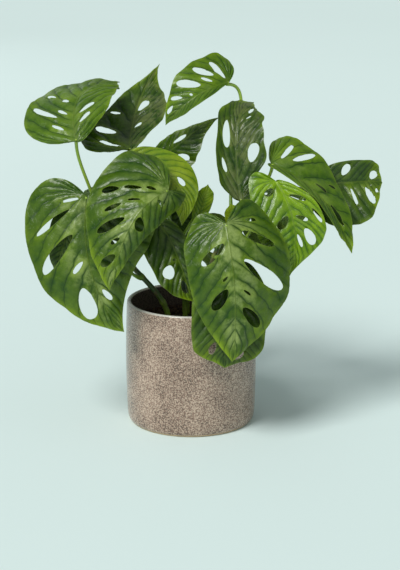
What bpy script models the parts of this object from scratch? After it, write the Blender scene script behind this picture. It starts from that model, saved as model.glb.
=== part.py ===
"""A potted Swiss cheese vine (Monstera adansonii): pot, soil, five stems, and pierced leaves on petioles.

Units are metres and +Z is up. The origin is the middle of the pot's flat foot, and -Y is the plant's front.
Sizes below are written in millimetres and turned into metres by MM.
"""

import math
from collections import namedtuple

import bmesh
import bpy
import numpy as np
from mathutils import Vector
from mathutils.geometry import delaunay_2d_cdt

MM = 0.001
GAP = 0.35  # clearance between neighbouring pieces

# Pot
POT_HEIGHT = 130.0
RIM_RADIUS = 67.0
BELLY_RADIUS = 68.5
FOOT_RADIUS = 62.0
POT_WALL = 4.5
POT_FLOOR = 6.0
HEEL_ROUND = 8.0
POT_SIDES = 48
WALL_SHARES = (0.1, 0.3, 0.5, 0.7, 0.9)  # heights of the rings that round the wall out

# Soil
SOIL_DEPTH = 22.0  # from the rim down to the soil
SOIL_RINGS = 5
SOIL_SIDES = 36
SOIL_MOUND = 1.5
MOUND_WAVES = (7.0, 9.0)  # across and along

# Stems
STEM_SIDES = 10
STEM_STEPS = 14
STEM_TAPER = 0.2

# Petioles
PETIOLE_RADIUS = 1.5
PETIOLE_BASE_RADIUS = 1.9
PETIOLE_SIDES = 6
PETIOLE_STEPS = 10
PETIOLE_EASE = 0.4  # share of its reach over which a petiole turns
JOINT_INSET = 2.0  # from the sinus to where the petiole meets the blade
LEAVE_RISE = 0.7  # how much of a petiole's first direction follows the stem
DROOP_ROOM = 1.5  # clearance under a blade that folds down, in petiole radii

# Leaf blades: shares of the length or of the half width
BLADE_THICKNESS = 0.8
VEIN_SLANT = 0.16  # how far a side vein climbs towards the tip
VEIN_BOW = 1.25
ROOT_EASE = 0.02  # rounds the start of the veins at the sinus
ROOT_TRIM = 0.01
SIDE_SPLIT = 0.4  # share of the margin's parameter behind the widest station
LOBE_START = 0.05
LOBE_SPREAD = 2.0
SHOULDER = 0.27  # from where a side comes to its full width to its widest station
TIP_TURN = 0.83  # where the margin turns in to the tip
TIP_SLACK = 0.03
RIB_SAMPLES = 33
HOLE_SIDES = 8
HOLE_MARGIN = 4.0  # how near a hole a free point of the triangulation may lie
MARGIN_STATIONS = (0.08, 0.16, 0.24, 0.32, 0.4, 0.5, 0.6, 0.7, 0.8, 0.88, 0.95)
RIB_STATIONS = (0.1, 0.2, 0.3, 0.4, 0.5, 0.6, 0.7, 0.8, 0.9, 0.96)
INNER_STATIONS = (0.15, 0.3, 0.45, 0.6, 0.75, 0.88)
INNER_SHARES = (0.35, 0.7)
ALL_TRIANGLES = 0  # the triangulation's setting that keeps every triangle
MERGE_NEAR = 1e-6
SHARP_ANGLE = 45.0

Stem = namedtuple("Stem", "route radius")

# A stem's route is four Bezier points, from the soil to its growing end.
STEMS = {
    "stem_left": Stem(((-24, 0, 0), (-24, 0, 30), (-72, 4, 56), (-98, 8, 104)), 3.0),
    "stem_middle": Stem(((-6, 8, 0), (-6, 8, 40), (-14, 10, 90), (-34, 18, 136)), 2.8),
    "stem_right": Stem(((10, -10, 0), (10, -10, 40), (26, -14, 80), (44, -20, 118)), 2.8),
    "stem_far_right": Stem(((20, 12, 0), (20, 12, 40), (44, 10, 90), (78, 4, 132)), 2.8),
    "stem_back": Stem(((-4, 28, 0), (-4, 28, 40), (-4, 44, 70), (-24, 52, 104)), 2.6),
}

# A blade is laid out by where its petiole joins, where its tip ends, and which way its upper side faces.
# Pairs are (right, left), as seen on the upper side with the tip away from the viewer.
# arch and sway bow the midrib up and to the right at a third and two thirds of it, in millimetres.
# fold is each side's rise from the midrib and curl is what it gains on the way to the margin, in degrees.
# lobe, widest and full shape the outline, as shares of the length.
# arrive is the petiole's last direction, along the midrib and up from it.
# A hole is (station and share of its inner end, station and share of its outer end, width in millimetres):
# stations run along the margin from sinus to tip, shares from the midrib out to the margin.
Leaf = namedtuple(
    "Leaf",
    "base tip face width stem node arch sway fold curl lobe widest full right left arrive",
    defaults=((0, 0), (0, 0), (0, 0), (0, 0), (0.25, 0.25), (0.27, 0.27), (0.38, 0.38), (), (), (0, 1)),
)

LEAVES = {
    "upper_left": Leaf(
        base=(-114, -30, 303), tip=(-75, 75, 347), face=(0, -0.4, 1), width=(38, 54),
        arch=(17, 19), sway=(-27, -28), fold=(14, -15), curl=(-6, 1), lobe=(0.08, 0.01), widest=(0.44, 0.31),
        full=(0.46, 0.29), stem="stem_left", node=1.0,
        right=((0.38, 0.17, 0.41, 0.54, 5.5), (0.32, 0.18, 0.35, 0.48, 4.5)),
        left=((0.44, 0.31, 0.46, 0.86, 5.5), (0.47, 0.12, 0.49, 0.33, 3.5), (0.58, 0.55, 0.57, 0.84, 3),
              (0.57, 0.18, 0.57, 0.37, 4.5), (0.37, 0.19, 0.39, 0.41, 3.5))),
    "upper_back_left": Leaf(
        base=(-63, 20, 285), tip=(-34, 125, 359), face=(0.1, -0.5, 1), width=(33, 52),
        arch=(-14, -4), sway=(-12, -12), fold=(17, -1), curl=(-4, 20), lobe=(0.09, 0), widest=(0.53, 0.05),
        full=(0.11, 0.05), stem="stem_middle", node=0.8,
        right=((0.53, 0.1, 0.6, 0.42, 9), (0.35, 0.1, 0.36, 0.32, 4)),
        left=((0.6, 0.38, 0.56, 0.86, 9), (0.69, 0.49, 0.67, 0.85, 3.5), (0.53, 0.14, 0.48, 0.66, 4))),
    "top": Leaf(
        base=(40, 28, 354), tip=(-26, 10, 312), face=(-0.1, -1, 0.75), width=(36, 8),
        arch=(20, 22), sway=(0, -1), fold=(7, -35), curl=(3, 0), lobe=(0.33, 0), widest=(0.11, 0.48),
        full=(0.47, 0.41), stem="stem_right", node=1.0, arrive=(1.5, 0.3),
        right=((0.43, 0.12, 0.41, 0.76, 7), (0.47, 0.34, 0.52, 0.81, 7), (0.51, 0.17, 0.54, 0.44, 3.5),
               (0.58, 0.25, 0.66, 0.87, 8.5), (0.73, 0.35, 0.78, 0.84, 4), (0.82, 0.54, 0.9, 0.76, 4),
               (0.67, 0.12, 0.68, 0.24, 2.5))),
    "middle_back": Leaf(
        base=(-43, 45, 269), tip=(32, 34, 317), face=(0, -0.8, 0.6), width=(28, 16),
        arch=(6, 9), sway=(13, -4), curl=(-8, -4), lobe=(0.1, 0.1), widest=(0.42, 0.37), full=(0.05, 0.05),
        stem="stem_middle", node=0.9,
        right=((0.48, 0.35, 0.5, 0.78, 6),),
        left=((0.54, 0.38, 0.68, 0.34, 4),)),
    "centre_upright": Leaf(
        base=(51, -34, 242), tip=(66, 46, 330), face=(0, -1, 0.4), width=(30, 22),
        arch=(8, 51), sway=(-11, -25), fold=(14, -11), curl=(5, 53), widest=(0.45, 0.33), lobe=(0, 0),
        full=(0.33, 0.57), stem="stem_right", node=0.9, arrive=(1, 0.3),
        right=((0.37, 0.5, 0.44, 0.68, 11), (0.73, 0.51, 0.8, 0.79, 4), (0.66, 0.38, 0.68, 0.6, 3)),
        left=((0.59, 0.6, 0.48, 0.43, 7.5), (0.43, 0.67, 0.4, 0.52, 4))),
    "front_right": Leaf(
        base=(35, -84, 231), tip=(41, -114, 98), face=(0, -1, 0.3), width=(46, 68),
        arch=(24, 3), sway=(-6, -9), fold=(-7, -23), curl=(-9, -16), lobe=(0.26, 0.5), widest=(0.22, 0.33),
        full=(0.51, 0.34), stem="stem_right", node=0.7,
        right=((0.43, 0.12, 0.45, 0.66, 10), (0.54, 0.13, 0.55, 0.26, 2.5), (0.59, 0.17, 0.65, 0.63, 11)),
        left=((0.21, 0.44, 0.23, 0.64, 4), (0.34, 0.23, 0.35, 0.75, 10), (0.45, 0.19, 0.54, 0.87, 15),
              (0.68, 0.17, 0.75, 0.75, 11), (0.59, 0.15, 0.61, 0.31, 2.5))),
    "front_low": Leaf(
        base=(39, -70, 181), tip=(34, -88, 83), face=(0, -1, 0.2), width=(36, 40),
        arch=(5, 5), fold=(5, 5), curl=(5, 5), widest=(0.45, 0.4), full=(0.76, 0.8),
        stem="stem_right", node=0.4,
        right=((0.65, 0.35, 0.78, 0.68, 6.5),),
        left=((0.88, 0.66, 0.72, 0.6, 5),)),
    "right": Leaf(
        base=(86, -34, 263), tip=(100, -56, 170), face=(0, -1, 0.5), width=(40, 32),
        arch=(11, 8), sway=(-14, -15), fold=(5, 6), curl=(1, 7), lobe=(0.51, 0.03), widest=(0.42, 0.54),
        full=(0.38, 0.12), stem="stem_far_right", node=0.8,
        right=((0.31, 0.18, 0.3, 0.47, 7.5), (0.46, 0.12, 0.51, 0.43, 9)),
        left=((0.28, 0.17, 0.3, 0.67, 4), (0.34, 0.7, 0.39, 0.88, 3.5), (0.41, 0.12, 0.43, 0.46, 4),
              (0.54, 0.37, 0.63, 0.84, 9), (0.62, 0.1, 0.71, 0.42, 3.5))),
    "right_arching": Leaf(
        base=(81, -20, 278), tip=(163, -49, 192), face=(0.3, -0.6, 1), width=(14, 48),
        arch=(23, 8), sway=(-6, -18), fold=(11, 3), curl=(13, -4), lobe=(0.08, 0.08), widest=(0.38, 0.05),
        full=(0.6, 0.28), stem="stem_far_right", node=0.9,
        left=((0.48, 0.23, 0.42, 0.76, 5), (0.52, 0.34, 0.53, 0.9, 7), (0.65, 0.2, 0.7, 0.36, 3),
              (0.75, 0.15, 0.85, 0.22, 4), (0.67, 0.6, 0.69, 0.8, 3))),
    "far_right": Leaf(
        base=(130, 15, 252), tip=(200, 29, 248), face=(0, -1, 0.5), width=(49, 23),
        arch=(0, 10), sway=(4, -1), fold=(7, 17), curl=(6, 6), lobe=(0.25, 0.17), widest=(0.35, 0.5),
        full=(0.5, 0.9), stem="stem_far_right", node=0.6,
        right=((0.54, 0.13, 0.54, 0.59, 3), (0.7, 0.2, 0.74, 0.85, 7), (0.86, 0.47, 0.85, 0.72, 4)),
        left=((0.4, 0.35, 0.41, 0.81, 8), (0.77, 0.18, 0.8, 0.71, 8))),
    "centre_left": Leaf(
        base=(-22, -50, 257), tip=(-80, -93, 165), face=(-0.1, -1, 0.6), width=(66, 26),
        arch=(29, 9), sway=(18, 10), fold=(-10, -37), curl=(-11, -13), lobe=(0.33, 0.36), widest=(0.11, 0.23),
        full=(0.38, 0.21), stem="stem_middle", node=0.7,
        right=((0.46, 0.1, 0.47, 0.24, 3.5), (0.48, 0.27, 0.5, 0.52, 3.5), (0.51, 0.57, 0.53, 0.81, 7),
               (0.53, 0.13, 0.55, 0.33, 2.5), (0.57, 0.38, 0.61, 0.64, 4.5), (0.63, 0.19, 0.7, 0.73, 9),
               (0.72, 0.12, 0.75, 0.34, 4.5), (0.8, 0.12, 0.85, 0.75, 9)),
        left=((0.58, 0.16, 0.62, 0.56, 11), (0.43, 0.12, 0.38, 0.5, 4))),
    "left_low": Leaf(
        base=(-105, -35, 248), tip=(-67, -66, 114), face=(-0.1, -1, 0.35), width=(64, 71),
        arch=(11, 12), sway=(18, 22), fold=(-6, -6), curl=(-11, -11), lobe=(0.22, 0.2), widest=(0.19, 0.22),
        full=(0.39, 0.23), stem="stem_left", node=0.6,
        right=((0.39, 0.08, 0.38, 0.4, 3), (0.42, 0.25, 0.45, 0.81, 5.5), (0.51, 0.21, 0.57, 0.88, 11.5),
               (0.62, 0.11, 0.64, 0.37, 5), (0.71, 0.33, 0.83, 0.78, 17)),
        left=((0.77, 0.17, 0.82, 0.42, 5.5), (0.55, 0.2, 0.58, 0.7, 9))),
    "yellow_back": Leaf(
        base=(-64, -8, 268), tip=(-9, -26, 215), face=(0.2, -0.8, 0.6), width=(34, 28),
        arch=(12, 12), sway=(-28, -38), fold=(0, 0), lobe=(0.15, 0.15),
        stem="stem_middle", node=0.85,
        left=((0.62, 0.25, 0.7, 0.31, 5.5),)),
    "centre_low": Leaf(
        base=(-33, -22, 217), tip=(4, -53, 142), face=(0.3, -1, 0.2), width=(32, 16),
        arch=(6, 7), sway=(-8, 2), fold=(4, 1), curl=(3, 0), lobe=(0.22, 0.03), widest=(0.24, 0.27),
        full=(0.6, 0.47),
        stem="stem_middle", node=0.5,
        right=((0.58, 0.36, 0.63, 0.72, 12), (0.74, 0.2, 0.88, 0.42, 7), (0.57, 0.09, 0.56, 0.24, 3))),
    "small_middle": Leaf(
        base=(6, 3, 214), tip=(18, 2, 252), face=(0.3, -1, 0.2), width=(10, 9),
        arch=(3, 3), widest=(0.5, 0.5), full=(0.45, 0.45),
        stem="stem_middle", node=0.6),
    "small_front": Leaf(
        base=(46, -51, 213), tip=(40, -52, 244), face=(0.2, -1, 0.2), width=(11, 9),
        arch=(2, 2), widest=(0.5, 0.5), full=(0.45, 0.45),
        stem="stem_right", node=0.82),
    "inner_right": Leaf(
        base=(62, -40, 222), tip=(104, -48, 190), face=(0.2, 1, 0.3), width=(20, 20),
        arch=(4, 4), stem="stem_right", node=0.6),
    "inner_left": Leaf(
        base=(-120, -8, 222), tip=(-140, -12, 160), face=(-0.2, -1, 0.3), width=(20, 26),
        arch=(4, 4), stem="stem_left", node=0.5, arrive=(0.5, 1),
        left=((0.5, 0.3, 0.55, 0.75, 5),)),
    "inner_middle": Leaf(
        base=(-10, 32, 226), tip=(-18, 29, 166), face=(0, -1, 0.1), width=(20, 24),
        arch=(2, 2), stem="stem_back", node=0.75),
    "back_left": Leaf(
        base=(-70, 62, 240), tip=(-86, 128, 174), face=(-0.1, 1, 0.6), width=(44, 44),
        arch=(10, 10), fold=(-5, -5), curl=(-10, -10), stem="stem_back", node=0.8,
        right=((0.38, 0.2, 0.4, 0.7, 7), (0.55, 0.2, 0.59, 0.75, 8), (0.71, 0.2, 0.76, 0.7, 6)),
        left=((0.34, 0.25, 0.36, 0.7, 6), (0.49, 0.18, 0.52, 0.78, 9), (0.66, 0.2, 0.7, 0.7, 7))),
    "back_middle": Leaf(
        base=(4, 76, 200), tip=(2, 118, 112), face=(0, 1, 0.4), width=(44, 44),
        arch=(10, 10), fold=(-5, -5), curl=(-10, -10), stem="stem_back", node=0.7,
        right=((0.4, 0.22, 0.43, 0.72, 8), (0.56, 0.16, 0.61, 0.72, 7), (0.73, 0.22, 0.78, 0.68, 5)),
        left=((0.36, 0.2, 0.38, 0.66, 5), (0.52, 0.2, 0.56, 0.74, 9), (0.69, 0.24, 0.75, 0.7, 6))),
    "back_right": Leaf(
        base=(87, 52, 238), tip=(108, 118, 172), face=(0.1, 1, 0.6), width=(42, 42),
        arch=(10, 10), fold=(-5, -5), curl=(-10, -10), stem="stem_far_right", node=0.5,
        right=((0.35, 0.25, 0.37, 0.74, 6), (0.5, 0.2, 0.54, 0.76, 8), (0.68, 0.22, 0.73, 0.72, 7)),
        left=((0.42, 0.22, 0.45, 0.76, 8), (0.6, 0.18, 0.65, 0.7, 7))),
}


def unit(vector):
    """The vector or row of vectors scaled to length one."""
    return vector / np.linalg.norm(vector, axis=-1, keepdims=True)


def bezier(points, share):
    """Points of a cubic Bezier curve at the given shares of its parameter."""
    p0, p1, p2, p3 = (np.asarray(p, float) for p in points)
    s = np.asarray(share, float)[..., None]
    return (1 - s) ** 3 * p0 + 3 * (1 - s) ** 2 * s * p1 + 3 * (1 - s) * s ** 2 * p2 + s ** 3 * p3


def bezier_slope(points, share):
    """Direction of travel of the same curve, not scaled."""
    p0, p1, p2, p3 = (np.asarray(p, float) for p in points)
    s = np.asarray(share, float)[..., None]
    return (1 - s) ** 2 * (p1 - p0) + 2 * (1 - s) * s * (p2 - p1) + s ** 2 * (p3 - p2)


def margin(station, shape):
    """Half outline: (share of length, share of half width) from the sinus, round the lobe, to the tip."""
    lobe, widest, full = shape
    station = np.asarray(station, float)
    back = bezier(
        ((0, 0), (-lobe, min(0.5, LOBE_START + LOBE_SPREAD * lobe)), (widest - SHOULDER, 1), (widest, 1)),
        np.clip(station / SIDE_SPLIT, 0, 1),
    )
    front = bezier(
        ((widest, 1), (min(widest + full, 1), 1), (TIP_TURN, full - TIP_SLACK), (1, 0)),
        np.clip((station - SIDE_SPLIT) / (1 - SIDE_SPLIT), 0, 1),
    )
    return np.where((station < SIDE_SPLIT)[..., None], back, front)


def blade_point(station, share, shape):
    """Normalised flat place on the blade: station runs along the margin, share from midrib to margin."""
    edge = margin(station, shape)
    root = edge[..., 0] - VEIN_SLANT * edge[..., 1]
    root = (root + np.hypot(root, ROOT_EASE)) / 2 - ROOT_TRIM * (1 - np.asarray(station, float))
    root = np.clip(root, 0, 1)
    share = np.asarray(share, float)
    along = root + (edge[..., 0] - root) * share ** VEIN_BOW
    return np.stack([along, edge[..., 1] * share], -1)


def spine(leaf):
    """The midrib's Bezier points, and the blade's own up and right directions."""
    base = np.array(leaf.base, float)
    tip = np.array(leaf.tip, float)
    chord = unit(tip - base)
    face = np.array(leaf.face, float)
    up = unit(face - chord * face.dot(chord))
    right = np.cross(chord, up)
    one = base + (tip - base) / 3 + up * leaf.arch[0] + right * leaf.sway[0]
    two = base + (tip - base) * 2 / 3 + up * leaf.arch[1] + right * leaf.sway[1]
    return (base, one, two, tip), up


def rib_length(points):
    """Length of the midrib along its curve."""
    trail = bezier(points, np.linspace(0, 1, RIB_SAMPLES))
    return float(np.linalg.norm(np.diff(trail, axis=0), axis=1).sum())


def bend(leaf, flat):
    """Carries flat blade places (mm along and across) onto the bent midrib, folded and curled each side."""
    points, up0 = spine(leaf)
    length = rib_length(points)
    share = flat[:, 0] / length
    inside = np.clip(share, 0, 1)
    tangent = unit(bezier_slope(points, inside))
    place = bezier(points, inside) + tangent * (flat[:, :1] - inside[:, None] * length)
    up = unit(up0 - tangent * (tangent @ up0)[:, None])
    right = np.cross(tangent, up)
    across = flat[:, 1]
    first = across >= 0
    width = np.where(first, leaf.width[0], leaf.width[1])
    fold = np.where(first, leaf.fold[0], leaf.fold[1])
    curl = np.where(first, leaf.curl[0], leaf.curl[1])
    angle = np.radians(fold + curl / 2 * np.abs(across) / width)
    place = place + right * (across * np.cos(angle))[:, None] + up * (np.abs(across) * np.sin(angle))[:, None]
    normal = up * np.cos(angle)[:, None] - right * (np.sign(across) * np.sin(angle))[:, None]
    return place, unit(normal)


def outline_shape(leaf, side):
    """Lobe, widest and full of one side: 0 is the right, 1 the left."""
    return leaf.lobe[side], leaf.widest[side], leaf.full[side]


def hole_outline(hole, length, width, shape, sides):
    """An ellipse along a side vein, in flat millimetres on the right half."""
    stations, shares, breadth = hole[0:3:2], hole[1:4:2], hole[4]
    ends = blade_point(np.array(stations), np.array(shares), shape) * (length, width)
    middle = ends.mean(axis=0)
    along = (ends[1] - ends[0]) / 2
    across = unit(np.array([-along[1], along[0]])) * breadth / 2
    turn = np.linspace(0, 2 * math.pi, sides, endpoint=False)
    return middle + np.outer(np.cos(turn), along) + np.outer(np.sin(turn), across)


def enclosed(points, rings):
    """Which points lie on the blade: those from where a line crosses the rings an odd number of times."""
    start = np.vstack(rings)
    run = np.vstack([np.roll(ring, -1, axis=0) for ring in rings]) - start
    rise = np.where(run[:, 1] == 0, 1, run[:, 1])
    apart = points[:, None] - start
    spans = (apart[..., 1] < 0) != (apart[..., 1] < run[:, 1])
    beyond = apart[..., 0] < run[:, 0] / rise * apart[..., 1]
    return (spans & beyond).sum(axis=1) % 2 == 1


def blade_sheet(leaf, length):
    """Flat triangles of a blade in millimetres: outline, midrib and holes, right half on +across."""
    corners, edges = [], []

    def ring(points, closed=True):
        first = len(corners)
        corners.extend(Vector(point) for point in points)
        edges.extend((first + i, first + i + 1) for i in range(len(points) - 1))
        if closed:
            edges.append((first + len(points) - 1, first))

    halves, rings = [], []
    for side, sign in ((0, 1), (1, -1)):
        shape = outline_shape(leaf, side)
        scale = np.array([length, leaf.width[side]])
        halves.append(margin(MARGIN_STATIONS, shape) * scale * (1, sign))
        holes = [hole_outline(hole, *scale, shape, HOLE_SIDES) for hole in (leaf.right, leaf.left)[side]]
        for hole in holes:
            rings.append(hole * (1, sign))
            ring(rings[-1])
        for station in INNER_STATIONS:
            for share in INNER_SHARES:
                point = blade_point(station, share, shape) * scale
                if all(np.linalg.norm(hole - point, axis=1).min() > HOLE_MARGIN for hole in holes):
                    corners.append(Vector(point * (1, sign)))
    rings.append(np.vstack([[(0, 0)], halves[0], [(length, 0)], halves[1][::-1]]))
    ring(rings[-1])
    ring([(share * length, 0) for share in RIB_STATIONS], closed=False)
    found = delaunay_2d_cdt(corners, edges, [], ALL_TRIANGLES, MERGE_NEAR, False)
    places = np.array([tuple(v) for v in found[0]])
    faces = np.array([tuple(f) for f in found[2]])
    solid = enclosed(places[faces].mean(axis=1), rings)
    kept, faces = np.unique(faces[solid], return_inverse=True)
    return places[kept], faces.reshape(-1, 3)


def thick_sheet(name, place, normal, faces, thickness):
    """Closed mesh of a sheet: both skins half a thickness either side, and a rim round every free edge."""
    count = len(place)
    half = normal * thickness / 2
    edges = np.vstack([faces[:, (0, 1)], faces[:, (1, 2)], faces[:, (2, 0)]])
    known = {tuple(edge) for edge in edges.tolist()}
    rim = [edge for edge in known if (edge[1], edge[0]) not in known]
    skin = [tuple(face) for face in faces.tolist()]
    back = [tuple(count + i for i in reversed(face)) for face in skin]
    wall = [(b, a, count + a, count + b) for a, b in sorted(rim)]
    mesh = bpy.data.meshes.new(name)
    mesh.from_pydata(np.vstack([place + half, place - half]) * MM, [], skin + back + wall)
    return mesh


def add_node(name, data, material):
    """Places mesh or curve data in the scene as one named piece with its material."""
    node = bpy.data.objects.new(name, data)
    node.data.materials.append(material)
    bpy.context.collection.objects.link(node)
    return node


def finish(name, colour, roughness):
    """A plain material of one colour."""
    material = bpy.data.materials.new(name)
    material.use_nodes = True
    surface = material.node_tree.nodes["Principled BSDF"]
    surface.inputs["Base Color"].default_value = (*colour, 1)
    surface.inputs["Roughness"].default_value = roughness
    surface.inputs["Metallic"].default_value = 0
    return material


def add_blade(name, leaf, material):
    """One leaf blade."""
    length = rib_length(spine(leaf)[0])
    flat, faces = blade_sheet(leaf, length)
    a, b, c = (flat[faces[:, i]] for i in range(3))
    clockwise = np.cross(b - a, c - a) > 0
    faces[clockwise] = faces[clockwise][:, ::-1]
    place, normal = bend(leaf, flat)
    mesh = thick_sheet(name, place, normal, faces, BLADE_THICKNESS)
    mesh.shade_smooth()
    mesh.set_sharp_from_angle(angle=math.radians(SHARP_ANGLE))
    return add_node(name, mesh, material)


def add_tube(name, route, radii, sides, material):
    """A round piece along the given points, capped at both ends."""
    curve = bpy.data.curves.new(name, "CURVE")
    curve.dimensions = "3D"
    curve.bevel_depth = MM
    curve.bevel_resolution = (sides - 4) // 2
    curve.use_fill_caps = True
    spline = curve.splines.new("POLY")
    spline.points.add(len(route) - 1)
    for point, place, radius in zip(spline.points, route, radii):
        point.co = (*(place * MM), 1)
        point.radius = radius
    return add_node(name, curve, material)


def stem_route(stem, share):
    """Places along a stem, lifted from the soil's surface to world height."""
    ground = POT_HEIGHT - SOIL_DEPTH + GAP
    return bezier(stem.route, share) + (0, 0, ground)


def petiole_route(leaf, steps):
    """A petiole's curve from the side of its stem to the underside of its blade."""
    points, up = spine(leaf)
    along = unit(points[1] - points[0])
    up = unit(up - along * along.dot(up))
    arrive = unit(along * leaf.arrive[0] + up * leaf.arrive[1])
    lean = math.sqrt(max(0.0, 1 - arrive.dot(up) ** 2))
    end = points[0] + along * JOINT_INSET
    droop = math.sin(math.radians(max(0, -min(leaf.fold))))
    end = end - up * (BLADE_THICKNESS / 2 + GAP + PETIOLE_RADIUS * (lean + DROOP_ROOM * droop))
    stem = STEMS[leaf.stem]
    foot = stem_route(stem, leaf.node)
    rise = unit(bezier_slope(stem.route, leaf.node))
    out = end - foot
    out = unit(out - rise * out.dot(rise))
    start = foot + out * (stem.radius + GAP + PETIOLE_RADIUS * LEAVE_RISE)
    leave = unit(out * math.sqrt(1 - LEAVE_RISE ** 2) + rise * LEAVE_RISE)
    reach = np.linalg.norm(end - start) * PETIOLE_EASE
    return bezier((start, start + leave * reach, end - arrive * reach, end), np.linspace(0, 1, steps))


def add_pot(material):
    """The pot: a profile of radius and height turned round the axis, foot and floor closed in the middle."""
    outside = [(0, 0), (FOOT_RADIUS, 0)]
    for step in range(1, 4):
        turn = math.pi / 2 * step / 4
        outside.append((
            FOOT_RADIUS + (RIM_RADIUS - FOOT_RADIUS) * math.sin(turn),
            HEEL_ROUND * (1 - math.cos(turn)),
        ))
    for share in WALL_SHARES:
        bulge = (BELLY_RADIUS - RIM_RADIUS) * math.sin(math.pi * share)
        outside.append((RIM_RADIUS + bulge, POT_HEIGHT * share))
    lip = POT_WALL / 2
    rim = []
    for step in range(5):
        turn = math.pi * step / 4
        rim.append((RIM_RADIUS - lip + lip * math.cos(turn), POT_HEIGHT - lip + lip * math.sin(turn)))
    bore = RIM_RADIUS - POT_WALL
    heel = POT_FLOOR + HEEL_ROUND
    inside = [(bore, POT_HEIGHT / 2), (bore, heel), (bore - HEEL_ROUND, POT_FLOOR), (0, POT_FLOOR)]
    shape = bmesh.new()
    corners = [shape.verts.new((radius * MM, 0, height * MM)) for radius, height in outside + rim + inside]
    profile = [shape.edges.new(pair) for pair in zip(corners, corners[1:])]
    bmesh.ops.spin(
        shape, geom=corners + profile, cent=(0, 0, 0), axis=(0, 0, 1),
        angle=2 * math.pi, steps=POT_SIDES, use_merge=True,
    )
    bmesh.ops.remove_doubles(shape, verts=shape.verts, dist=0.01 * MM)
    bmesh.ops.recalc_face_normals(shape, faces=shape.faces)
    mesh = bpy.data.meshes.new("pot")
    shape.to_mesh(mesh)
    shape.free()
    mesh.shade_smooth()
    mesh.set_sharp_from_angle(angle=math.radians(SHARP_ANGLE))
    return add_node("pot", mesh, material)


def add_soil(material):
    """The soil: a plug that fills the pot, with low mounds that flatten round the stems."""
    bore = RIM_RADIUS - POT_WALL - GAP
    top = POT_HEIGHT - SOIL_DEPTH
    bottom = POT_FLOOR + HEEL_ROUND
    shape = bmesh.new()
    bmesh.ops.create_cone(
        shape, cap_ends=True, cap_tris=False, segments=SOIL_SIDES,
        radius1=bore * MM, radius2=bore * MM, depth=(top - bottom) * MM,
    )
    lid = max(shape.faces, key=lambda face: face.calc_center_median().z)
    for _ in range(SOIL_RINGS):
        bmesh.ops.inset_region(shape, faces=[lid], thickness=bore / (SOIL_RINGS + 1) * MM)
    feet = np.array([stem.route[0][:2] for stem in STEMS.values()], float)
    for corner in shape.verts:
        corner.co.z += (top + bottom) / 2 * MM
        if corner.co.z > (top - 1) * MM:
            x, y = corner.co.x / MM, corner.co.y / MM
            clear = np.hypot(feet[:, 0] - x, feet[:, 1] - y).min()
            mound = SOIL_MOUND * (math.sin(x / MOUND_WAVES[0]) * math.sin(y / MOUND_WAVES[1]) - 1)
            corner.co.z += mound * min(1, clear / bore * 2) * MM
    mesh = bpy.data.meshes.new("soil")
    shape.to_mesh(mesh)
    shape.free()
    mesh.shade_smooth()
    mesh.set_sharp_from_angle(angle=math.radians(SHARP_ANGLE))
    return add_node("soil", mesh, material)


def main():
    """Builds every piece of the plant."""
    for item in list(bpy.data.objects):
        bpy.data.objects.remove(item)
    add_pot(finish("glaze", (0.28, 0.22, 0.19), 0.4))
    add_soil(finish("soil", (0.03, 0.02, 0.015), 0.95))
    bark = finish("stem_skin", (0.06, 0.12, 0.03), 0.5)
    stalk = finish("petiole_skin", (0.2, 0.34, 0.08), 0.45)
    green = finish("leaf_green", (0.09, 0.24, 0.03), 0.4)
    for name, stem in STEMS.items():
        share = np.linspace(0, 1, STEM_STEPS)
        add_tube(name, stem_route(stem, share), stem.radius * (1 - STEM_TAPER * share), STEM_SIDES, bark)
    for name, leaf in LEAVES.items():
        route = petiole_route(leaf, PETIOLE_STEPS)
        radii = np.linspace(PETIOLE_BASE_RADIUS, PETIOLE_RADIUS, PETIOLE_STEPS)
        add_tube("petiole_" + name, route, radii, PETIOLE_SIDES, stalk)
        add_blade("leaf_" + name, leaf, green)


main()
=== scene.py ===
"""The visible pieces of a potted Swiss cheese vine (Monstera adansonii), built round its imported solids.

Places and sizes are in millimetres in the solids' own frame, and MM turns them into metres. Only the stage's
are in metres. The origin is the middle of the pot's foot, +Z is up and -Y is the plant's front.
"""

import math
from collections import namedtuple
from itertools import combinations

import bpy
import numpy as np
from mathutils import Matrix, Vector


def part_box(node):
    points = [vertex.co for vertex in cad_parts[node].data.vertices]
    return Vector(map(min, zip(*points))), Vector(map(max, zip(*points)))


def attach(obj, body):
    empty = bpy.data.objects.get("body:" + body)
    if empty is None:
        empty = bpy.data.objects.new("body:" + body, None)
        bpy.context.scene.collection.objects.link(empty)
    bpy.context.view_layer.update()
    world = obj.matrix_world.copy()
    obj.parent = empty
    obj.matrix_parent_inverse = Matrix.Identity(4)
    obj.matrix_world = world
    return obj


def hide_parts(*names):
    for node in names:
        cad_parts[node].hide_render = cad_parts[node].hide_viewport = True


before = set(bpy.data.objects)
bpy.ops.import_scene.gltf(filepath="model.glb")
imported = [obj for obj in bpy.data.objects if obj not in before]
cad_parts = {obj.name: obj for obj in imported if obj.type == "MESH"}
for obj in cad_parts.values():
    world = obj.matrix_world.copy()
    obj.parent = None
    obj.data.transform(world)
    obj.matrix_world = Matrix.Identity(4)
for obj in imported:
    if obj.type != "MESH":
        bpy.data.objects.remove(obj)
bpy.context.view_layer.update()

MM = 0.001
POT_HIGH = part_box("pot")[1]
SOIL_LOW, SOIL_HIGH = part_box("soil")
POT_HEIGHT = POT_HIGH.z / MM
POT_RADIUS = POT_HIGH.x / MM
SOIL_RADIUS = SOIL_HIGH.x / MM
GROUND = SOIL_HIGH.z / MM

bl_info = {
    "name": "Potted Swiss cheese vine",
    "version": (1, 0, 0),
    "blender": (4, 5, 0),
    "location": "3D View > Sidebar > Vine",
    "description": "Leaves, petioles, stems, soil and glazed pot of a Monstera adansonii",
    "category": "Object",
}

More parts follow.
